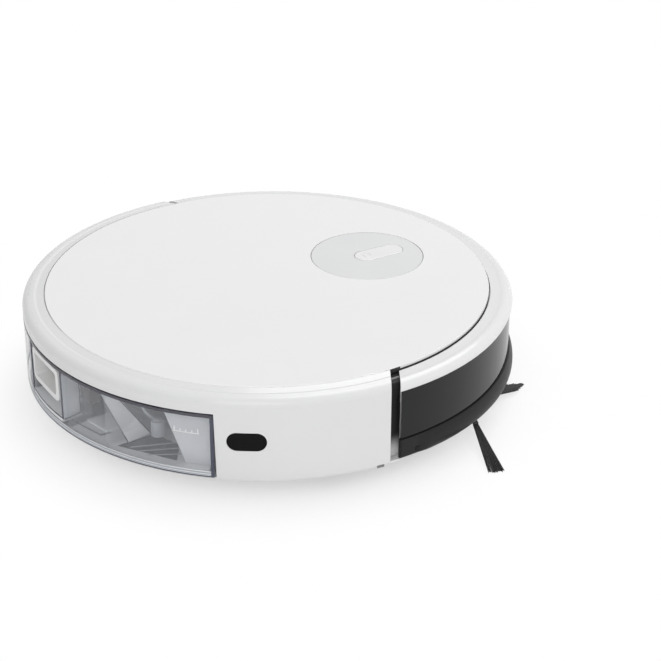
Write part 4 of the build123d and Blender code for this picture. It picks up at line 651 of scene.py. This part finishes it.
def tuft_of_bristles(side, arm_angle, fan_half, point, seed):
    """Bristles fanned out from the end of one arm; the outermost stop short of the middle ones."""
    dice = random.Random(seed)
    turn = math.radians(arm_angle if side > 0 else 180 - arm_angle)
    along = Vector((math.cos(turn), math.sin(turn), 0))
    across = Vector((-math.sin(turn), math.cos(turn), 0)) * side
    centre = Vector((side * hub_x, hub_y, 0)) + across * arm_shift
    bpy.ops.object.select_all(action="DESELECT")
    bpy.ops.mesh.primitive_cone_add(vertices=5, radius1=0.25 * mm, radius2=0.19 * mm, depth=1.0)
    model = bpy.context.object
    bristles = []
    for _ in range(bristle_count):
        spread, lift = dice.uniform(-1, 1), dice.uniform(-1, 1)
        high = 8.1 * mm + lift * 0.8 * mm
        root = centre + along * arm_end + across * (spread * 1.5 * mm) + Vector((0, 0, high))
        length = arm_reach - dice.uniform(0, 2.2 * mm) - abs(spread) * point
        fan = (fan_half * spread + dice.gauss(0, 0.35 * mm)) * length / arm_reach
        low = 1.1 * mm + lift * 0.5 * mm + (arm_reach - length) * 0.12
        tip = centre + along * length + across * fan + Vector((0, 0, low))
        bristles.append(stretched(model, root, tip))
    bpy.data.objects.remove(model)
    return bristles


for side, hand in ((1, "right"), (-1, "left")):
    bristles = []
    for number, (arm_angle, fan_half, point) in enumerate(arms):
        bristles += tuft_of_bristles(side, arm_angle, fan_half, point, 10 * number + side)
    bpy.context.view_layer.update()
    tufts = joined("bristles_" + hand, bristles)
    complete(tufts, arm_black, hand + "_side_brush", smooth=60)
    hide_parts("side_brush_tufts_" + hand)

# %% [markdown]
# The bristles sit in slim arms on a small round hub, held by a screw with a countersunk head.  The hub starts
# as a cylinder whose lower face is inset and pushed in for the screw, and each arm is a cube whose far end is
# drawn in and down.

# %% Hub and arms of the side brushes
def brush_arm(side, arm_angle):
    """One slim arm beside the hub's centre, lower and thinner at its end."""
    turn = math.radians(arm_angle if side > 0 else 180 - arm_angle)
    across = Vector((-math.sin(turn), math.cos(turn), 0)) * side
    bpy.ops.object.select_all(action="DESELECT")
    bpy.ops.mesh.primitive_cube_add(size=1, location=(10.5 * mm, 0, 9.4 * mm))
    arm = bpy.context.object
    arm.scale = (21 * mm, 3.9 * mm, 3.2 * mm)
    settle(arm)
    bpy.ops.object.mode_set(mode="EDIT")
    choose(arm, "vertices", lambda p: p.x > 20 * mm)
    bpy.ops.transform.resize(value=(1, 0.86, 0.72), center_override=(21 * mm, 0, 8.1 * mm))
    bpy.ops.mesh.select_all(action="SELECT")
    bpy.ops.mesh.bevel(offset=0.5 * mm, segments=3)
    bpy.ops.object.mode_set(mode="OBJECT")
    arm.rotation_euler.z = turn
    arm.location = Vector((side * hub_x, hub_y, 0)) + across * arm_shift
    settle(arm)
    return arm


for side, hand in ((1, "right"), (-1, "left")):
    old_low, old_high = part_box("side_brush_hub_" + hand)
    bpy.ops.object.select_all(action="DESELECT")
    bpy.ops.mesh.primitive_cylinder_add(vertices=48, radius=9 * mm, depth=10.3 * mm,
                                        location=(side * hub_x, hub_y, old_low.z + 5.15 * mm))
    hub = bpy.context.object
    settle(hub)
    bpy.ops.object.mode_set(mode="EDIT")
    choose(hub, "polygons", lambda p: p.z < old_low.z + 0.1 * mm)
    bpy.ops.mesh.bevel(offset=0.8 * mm, segments=3)
    choose(hub, "polygons", lambda p: p.z < old_low.z + 0.01 * mm)
    bpy.ops.mesh.inset(thickness=4.4 * mm)
    push(-1.8 * mm)
    bpy.ops.mesh.inset(thickness=0.5 * mm)
    push(0.9 * mm)
    bpy.ops.object.mode_set(mode="OBJECT")
    bpy.ops.object.select_all(action="DESELECT")
    bpy.ops.mesh.primitive_cylinder_add(vertices=24, radius=2.4 * mm, depth=old_high.z - old_low.z - 5 * mm,
                                        location=(side * hub_x, hub_y, (old_high.z + old_low.z + 5 * mm) / 2))
    shaft = bpy.context.object
    settle(shaft)
    pieces = [hub, shaft] + [brush_arm(side, arm[0]) for arm in arms]
    hub_piece = joined("brush_hub_" + hand, pieces)
    complete(hub_piece, arm_black, hand + "_side_brush")
    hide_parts("side_brush_hub_" + hand)

# %% [markdown]
# A driving wheel has a crowned rubber tyre: its tread lies flat in the middle and rounds away towards both
# flanks, with blocks across it for grip.  The section is a grid bent to that crown and spun round the axle,
# and every second group of tread faces is then raised into a block.

# %% Tyres with a crown and blocks
def crowned_tyre(hand):
    """A tyre round the CAD tyre's axle, with the same outer radius and width."""
    low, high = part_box("tyre_" + hand)
    middle = (low + high) / 2
    outer, inner, half = (high.z - low.z) / 2, 27.05 * mm, (high.x - low.x) / 2
    bpy.ops.object.select_all(action="DESELECT")
    bpy.ops.mesh.primitive_grid_add(x_subdivisions=16, y_subdivisions=1, size=2)
    tyre = bpy.context.object
    for corner in tyre.data.vertices:
        across = corner.co.x
        crown = outer - 1.0 * mm - 3.4 * mm * abs(across) ** 3.2
        radius = crown if corner.co.y > 0 else inner
        corner.co = middle + Vector((across * half, 0, radius))
    only(tyre)
    edit_all()
    bpy.ops.mesh.spin(steps=96, angle=2 * math.pi, center=middle, axis=(1, 0, 0))
    bpy.ops.mesh.select_all(action="SELECT")
    bpy.ops.mesh.remove_doubles(threshold=0.00001)
    bpy.ops.mesh.delete_loose()
    bpy.ops.mesh.select_all(action="SELECT")
    bpy.ops.mesh.normals_make_consistent(inside=False)

    def block(p):
        """Whether a tread face belongs to one of the raised blocks, which are staggered across the tread."""
        radius = math.hypot(p.y - middle.y, p.z - middle.z)
        turn = math.degrees(math.atan2(p.y - middle.y, p.z - middle.z)) + 360
        slant = (p.x - middle.x) / half
        return radius > 28.2 * mm and abs(slant) < 0.78 and (turn + 3.75 * round(slant * 1.2)) % 15 < 9.3

    choose(tyre, "polygons", block)
    push(1.0 * mm)
    bpy.ops.object.mode_set(mode="OBJECT")
    tyre.name = "tread_tyre_" + hand
    complete(tyre, tyre_rubber, hand + "_wheel", smooth=28)
    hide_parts("tyre_" + hand)


for hand in ("right", "left"):
    crowned_tyre(hand)

# %% [markdown]
# The main brush carries three soft rubber blades and three rows of bristle tufts between them, all wound in a
# shallow V so that dirt is swept to the middle.  A blade is a grid laid along that V and given its thickness
# by a modifier, and the bristle rows follow the same turn with short tufts.

# %% Main brush
roll_low, roll_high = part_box("main_brush")
roll_y, roll_z = (roll_low.y + roll_high.y) / 2, (roll_low.z + roll_high.z) / 2
roll_r = (roll_high.z - roll_low.z) / 2 - 0.2 * mm
core_r, roll_half = 7.0 * mm, 77.0 * mm
roll_centre = Vector((0, roll_y, roll_z))
v_turn = math.radians(50)


def roll_point(x, radius, angle):
    """A point at a place along the brush, a radius and an angle, wound in a V."""
    wound = angle + v_turn * (1 - abs(x) / roll_half)
    return roll_centre + Vector((x, radius * math.cos(wound), radius * math.sin(wound)))


bpy.ops.object.select_all(action="DESELECT")
bpy.ops.mesh.primitive_cylinder_add(vertices=40, radius=core_r, depth=2 * roll_half, location=roll_centre,
                                    rotation=(0, math.pi / 2, 0))
core = bpy.context.object
settle(core)
bpy.ops.object.mode_set(mode="EDIT")
choose(core, "polygons", lambda p: abs(p.x) > roll_half - 0.1 * mm)
bpy.ops.mesh.inset(thickness=2.2 * mm)
push(1.2 * mm)
bpy.ops.mesh.inset(thickness=1.8 * mm)
push(6.6 * mm)
bpy.ops.object.mode_set(mode="OBJECT")
core.name = "brush_core"
complete(core, arm_black, "brush_roller")
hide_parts("main_brush")

blades = []
for number in range(3):
    angle = number * 2 * math.pi / 3
    bpy.ops.object.select_all(action="DESELECT")
    bpy.ops.mesh.primitive_grid_add(x_subdivisions=56, y_subdivisions=3, size=1)
    blade = bpy.context.object
    for corner in blade.data.vertices:
        x = corner.co.x * 2 * (roll_half - 0.5 * mm)
        radius = core_r - 0.6 * mm + (corner.co.y + 0.5) * (roll_r - core_r)
        corner.co = roll_point(x, radius, angle)
    modify(blade, "SOLIDIFY", thickness=1.5 * mm, offset=0)
    blades.append(blade)
complete(joined("rubber_blades", blades), flap_rubber, "brush_roller", smooth=40)

dice = random.Random(7)
bpy.ops.object.select_all(action="DESELECT")
bpy.ops.mesh.primitive_cone_add(vertices=4, radius1=0.3 * mm, radius2=0.16 * mm, depth=1.0)
one_bristle = bpy.context.object
row_bristles = []
for number in range(3):
    angle = (number + 0.5) * 2 * math.pi / 3
    for tuft in range(30):
        x = -roll_half + 3 * mm + tuft * (2 * roll_half - 6 * mm) / 29
        for _ in range(7):
            lean, slide = dice.uniform(-1, 1), dice.uniform(-1, 1)
            root = roll_point(x + slide * 0.6 * mm, core_r - 0.5 * mm, angle)
            tip = roll_point(x + slide * 2.0 * mm, roll_r - dice.uniform(0, 0.6 * mm), angle + lean * 0.09)
            row_bristles.append(stretched(one_bristle, root, tip))
bpy.data.objects.remove(one_bristle)
bpy.context.view_layer.update()
complete(joined("bristle_rows", row_bristles), arm_black, "brush_roller", smooth=60)

# %% [markdown]
# Flat mouldings are plates through four corners.  A plane gets its corners, is divided so that it shades
# evenly, and takes its thickness and rounded edges from two modifiers.  The first use is the black edge at
# each end of the bumper's window, where the window folds round the end of the white band.

# %% Flat plates
def panel(name, corners, thickness, material, body, bevel_mm=0.4):
    """A moulded plate through four corners, in mm, going round, with its thickness to one side."""
    bpy.ops.object.select_all(action="DESELECT")
    bpy.ops.mesh.primitive_plane_add(size=1)
    plate = bpy.context.object
    plate.name = name
    for number, place in zip((0, 1, 3, 2), corners):
        plate.data.vertices[number].co = Vector(place) * mm
    only(plate)
    edit_all()
    bpy.ops.mesh.subdivide(number_cuts=5)
    bpy.ops.mesh.select_all(action="SELECT")
    bpy.ops.mesh.normals_make_consistent(inside=False)
    bpy.ops.object.mode_set(mode="OBJECT")
    modify(plate, "SOLIDIFY", thickness=thickness * mm, offset=-1)
    modify(plate, "BEVEL", width=bevel_mm * mm, segments=2)
    complete(plate, material, body)


for side, hand in ((1, "right"), (-1, "left")):
    panel("window_end_" + hand, [(side * 160.1, 4.86, 58.5), (side * 162.35, 4.86, 58.5),
                                 (side * 162.35, 5.41, 33.0), (side * 160.1, 5.41, 33.0)], 0.2,
          lip_black, "bumper", bevel_mm=0.04)

# %% [markdown]
# Through the clear bin one sees its inner mouldings: a slide that dirt falls down, a float with its tube in
# the tank, a smoky plate on the floor with pale ribs, and a dark filter block under the roof.  Most are
# plates, and thin round ribs draw the edges where light gathers.  All of them ride with the bin as it is
# pulled out.

# %% Inside the bin
bin_haze = clear_plastic("bin_haze", (0.66, 0.69, 0.74), alpha_face=0.55, alpha_edge=0.8, roughness=0.15)
bin_smoke = clear_plastic("bin_smoke", (0.035, 0.036, 0.042), alpha_face=0.85, alpha_edge=0.95, roughness=0.2)
bin_blue = clear_plastic("bin_blue", (0.055, 0.062, 0.10), alpha_face=0.85, alpha_edge=0.95, roughness=0.1)
bin_shine = clear_plastic("bin_shine", (0.93, 0.95, 0.97), alpha_face=0.85, alpha_edge=0.95, roughness=0.1)
bin_pale = clear_plastic("bin_pale", (0.80, 0.82, 0.86), alpha_face=0.75, alpha_edge=0.9, roughness=0.2)


def in_bin(piece, material):
    """Finish a clear moulding that rides with the bin."""
    complete(piece, material, "bin")


def bin_plate(name, corners, thickness, material, bevel_mm=0.4):
    """A flat clear moulding in the bin."""
    panel(name, corners, thickness, material, "bin", bevel_mm)


bin_plate("bin_slide", [(41, -144, 48.6), (57, -138.5, 51), (65, -120.4, 24), (68.2, -137.3, 24)], 1.4,
          bin_shine)
bin_plate("bin_floor_plate", [(64.6, -118, 22.8), (66, -144, 22.8), (101, -119.5, 22.8),
                              (84.2, -109.1, 22.8)], 0.8, bin_smoke)
rib_z, rib_w = 23.2, 0.9
floor_ribs = ((72, -138, 84, -104), (79, -135.5, 91, -106), (86, -133, 98, -109.5))
for number, (x, y, far_x, far_y) in enumerate(floor_ribs):
    bin_plate("bin_floor_rib_%d" % (number + 1),
              [(x, y, rib_z), (x + rib_w, y, rib_z), (far_x + rib_w, far_y, rib_z), (far_x, far_y, rib_z)],
              0.4, bin_haze, 0.08)
bin_plate("bin_step", [(27, -148, 23.4), (47, -143, 23.4), (44, -116, 23.4), (24, -116, 23.4)],
          1.6, bin_shine)
bin_plate("pocket_cheek", [(26.4, -163.0, 27.5), (26.4, -151.5, 29.6), (26.4, -151.5, 59.2),
                           (26.4, -163.0, 59.2)], 0.5, bin_haze, 0.1)
bin_plate("bin_baffle", [(94.5, -125.4, 59.2), (118.1, -103.4, 59.2), (118.1, -103.4, 22.5),
                         (105.9, -115.9, 22.5)], 0.8, bin_pale)
in_bin(bent_bar("bin_floor_light", (118, 162.4), (21.9, 22.3), (-79.5, -41.5), 40), bin_shine)
bin_plate("pocket_back", [(-23.4, -155, 27.2), (23.4, -155, 27.2), (23.4, -149.2, 37),
                          (-23.4, -149.2, 37)], 0.8, bin_shine, 0.15)


def rib(start, end, radius=0.35):
    """A thin round rib between two points, in mm."""
    start, end = Vector(start) * mm, Vector(end) * mm
    bpy.ops.object.select_all(action="DESELECT")
    bpy.ops.mesh.primitive_cylinder_add(vertices=10, radius=radius * mm, depth=(end - start).length,
                                        location=(start + end) / 2,
                                        rotation=(end - start).to_track_quat("Z", "Y").to_euler())
    settle(bpy.context.object)
    return bpy.context.object


rib_lines = (((26.6, -151.5, 29.6), (26.6, -151.5, 59.2)), ((26.6, -162.6, 27.4), (26.6, -151.5, 29.4)),
             ((41.0, -144.2, 48.9), (68.2, -137.5, 24.2)), ((57.2, -138.5, 51.2), (65.2, -120.4, 24.2)),
             ((20.3, -157.0, 23.0), (49.5, -147.9, 23.0)), ((49.5, -147.9, 23.0), (49.5, -140.7, 23.0)))
in_bin(joined("bin_ribs", [rib(start, end) for start, end in rib_lines]), bin_blue)

# %% [markdown]
# The float is a capped cylinder.  Its tube follows a short spline, because a bent tube of this size has no
# flat section to spin, and the curve is turned into a mesh as soon as it stands.  The filter block is a cube
# whose lower face is drawn in, as a foam block in its frame.

# %% Float, tube and filter block in the bin
bpy.ops.object.select_all(action="DESELECT")
bpy.ops.mesh.primitive_cylinder_add(vertices=32, radius=4.6 * mm, depth=11 * mm,
                                    location=(73.6 * mm, -119 * mm, 32.5 * mm))
tank_float = bpy.context.object
tank_float.name = "tank_float"
settle(tank_float)
bpy.ops.object.mode_set(mode="EDIT")
choose(tank_float, "polygons", lambda p: p.z > 37.9 * mm or p.z < 27.1 * mm)
bpy.ops.mesh.inset(thickness=1.6 * mm)
push(1.0 * mm)
bpy.ops.object.mode_set(mode="OBJECT")
modify(tank_float, "BEVEL", width=0.5 * mm, segments=3)
in_bin(tank_float, bin_haze)

tube_line = bpy.data.curves.new("tank_tube", "CURVE")
tube_line.dimensions = "3D"
tube_line.bevel_depth = 1.0 * mm
tube_line.bevel_resolution = 3
tube_line.resolution_u = 10
tube_line.use_fill_caps = True
spline = tube_line.splines.new("NURBS")
spline.points.add(4)
for point, place in zip(spline.points, ((75, -131, 56), (78, -130, 50), (78.5, -126, 44.5),
                                        (76.5, -121.5, 41), (73.6, -119, 38.5))):
    point.co = (*[c * mm for c in place], 1)
spline.order_u = 3
spline.use_endpoint_u = True
tube = bpy.data.objects.new("tank_tube", tube_line)
bpy.context.collection.objects.link(tube)
only(tube)
bpy.ops.object.convert(target="MESH")
in_bin(bpy.context.object, bin_haze)

bpy.ops.object.select_all(action="DESELECT")
bpy.ops.mesh.primitive_cube_add(size=1, location=(36 * mm, -147.5 * mm, 51 * mm))
block = bpy.context.object
block.name = "filter_block"
block.scale = (16 * mm, 7 * mm, 15 * mm)
settle(block)
bpy.ops.object.mode_set(mode="EDIT")
choose(block, "polygons", lambda p: p.z < 43.6 * mm)
bpy.ops.mesh.inset(thickness=1.2 * mm)
push(0.8 * mm)
bpy.ops.mesh.select_all(action="SELECT")
bpy.ops.mesh.bevel(offset=0.5 * mm, segments=2)
bpy.ops.object.mode_set(mode="OBJECT")
complete(block, filter_paper, "bin")

# %% [markdown]
# Where a clear wall ends, its edge gathers light or shows dark.  The bin's foot is a thin dark line, a
# painted shadow where the rim under the bin lies in shade, with a grey band over it and a bright line over
# that, a painted highlight on the edge of the bin's floor.  Its two ends are dark upright strips, and the
# finger pocket has a dark rim over a pale sill.  These are thin bent bars on the wall, because an edge line
# drawn by refraction alone is lost when the wall is made see-through enough to let light in.  The level line
# has two long ticks at its ends and three short ones.

# %% Edges of the bin, and its level line
# painted shadow in the dark bar at the bin's foot, and a painted highlight in the bright bar over the grey
# band
foot_bars = (("bin_foot", (19.3, 20.1), bin_blue), ("bin_foot_band", (20.1, 22.9), bin_haze),
             ("bin_foot_painted_highlight", (22.9, 23.5), bin_shine))
foot_angles, outer_r = (-139.9, -40.1), 165.1
for name, heights, material in foot_bars:
    in_bin(bent_bar(name, (164.9, 165.06), heights, foot_angles, 90), material)
in_bin(bent_bar("bin_foot_line", (165.05, outer_r), (21.3, 21.7), foot_angles, 90), bin_shine)
for hand, angles in (("right", (-40.8, -40.05)), ("left", (-139.95, -139.2))):
    in_bin(bent_bar("bin_end_" + hand, (164.6, outer_r), (20.1, 60.8), angles, 4), bin_blue)
pocket_rims = [bent_bar("pocket_rim", (164.9, outer_r), (26.8, 27.5), (-98.9, -81.1), 20),
               bent_bar("pocket_rim", (164.4, outer_r), (27.5, 60.6), (-81.6, -81.1), 2),
               bent_bar("pocket_rim", (164.4, outer_r), (27.5, 60.6), (-98.9, -98.2), 2)]
in_bin(joined("pocket_rim", pocket_rims), bin_blue)
in_bin(bent_bar("pocket_sill", (150.0, 164.9), (24.02, 26.8), (-98.2, -81.7), 20, round_mm=0.4), bin_shine)
level_radii, level_top = (165.02, outer_r), 49.7
ticks = [bent_bar("level_line", level_radii, (49.2, level_top), (-49.0, -43.1), 16)]
for number in range(5):
    centre = -48.7 + number * 1.32
    tall = 3.0 if number in (0, 4) else 1.8
    ticks.append(bent_bar("tick", level_radii, (level_top, level_top + tall),
                          (centre - 0.1, centre + 0.1), 2))
complete(joined("level_mark", ticks), button_white, "bin")

# %% [markdown]
# The screws that hold the base have cross recesses.  A sunk cross is cut from a rounded head with a boolean,
# which is how a punch makes it, and the one finished head is copied to every boss.

# %% Screw heads with a cross
screw_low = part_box("housing_screws")[0]
screw_places = [(side * x, y) for side in (-1, 1) for x, y in ((62.0, 126.0), (130.0, 61.0), (138.0, -57.0))]
bpy.ops.object.select_all(action="DESELECT")
bpy.ops.mesh.primitive_cylinder_add(vertices=32, radius=3.0 * mm, depth=1.7 * mm,
                                    location=(0, 0, screw_low.z + 0.85 * mm))
head = bpy.context.object
settle(head)
bpy.ops.object.mode_set(mode="EDIT")
choose(head, "polygons", lambda p: p.z < screw_low.z + 0.1 * mm)
bpy.ops.mesh.bevel(offset=0.5 * mm, segments=3)
choose(head, "polygons", lambda p: p.z > screw_low.z + 1.6 * mm)
bpy.ops.mesh.inset(thickness=1.5 * mm)
push(10.0 * mm)
bpy.ops.object.mode_set(mode="OBJECT")
for turn in (0, math.pi / 2):
    bpy.ops.object.select_all(action="DESELECT")
    bpy.ops.mesh.primitive_cube_add(size=1, location=(0, 0, screw_low.z + 0.2 * mm), rotation=(0, 0, turn))
    punch = bpy.context.object
    punch.scale = (3.2 * mm, 0.8 * mm, 1.6 * mm)
    settle(punch)
    modify(head, "BOOLEAN", object=punch)
    bpy.data.objects.remove(punch)
heads = []
for x, y in screw_places:
    screw = copy_of(head)
    screw.location = (x * mm, y * mm, 0)
    heads.append(screw)
bpy.data.objects.remove(head)
bpy.context.view_layer.update()
screws = joined("cross_screws", heads)
complete(screws, steel, "chassis")
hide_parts("housing_screws")
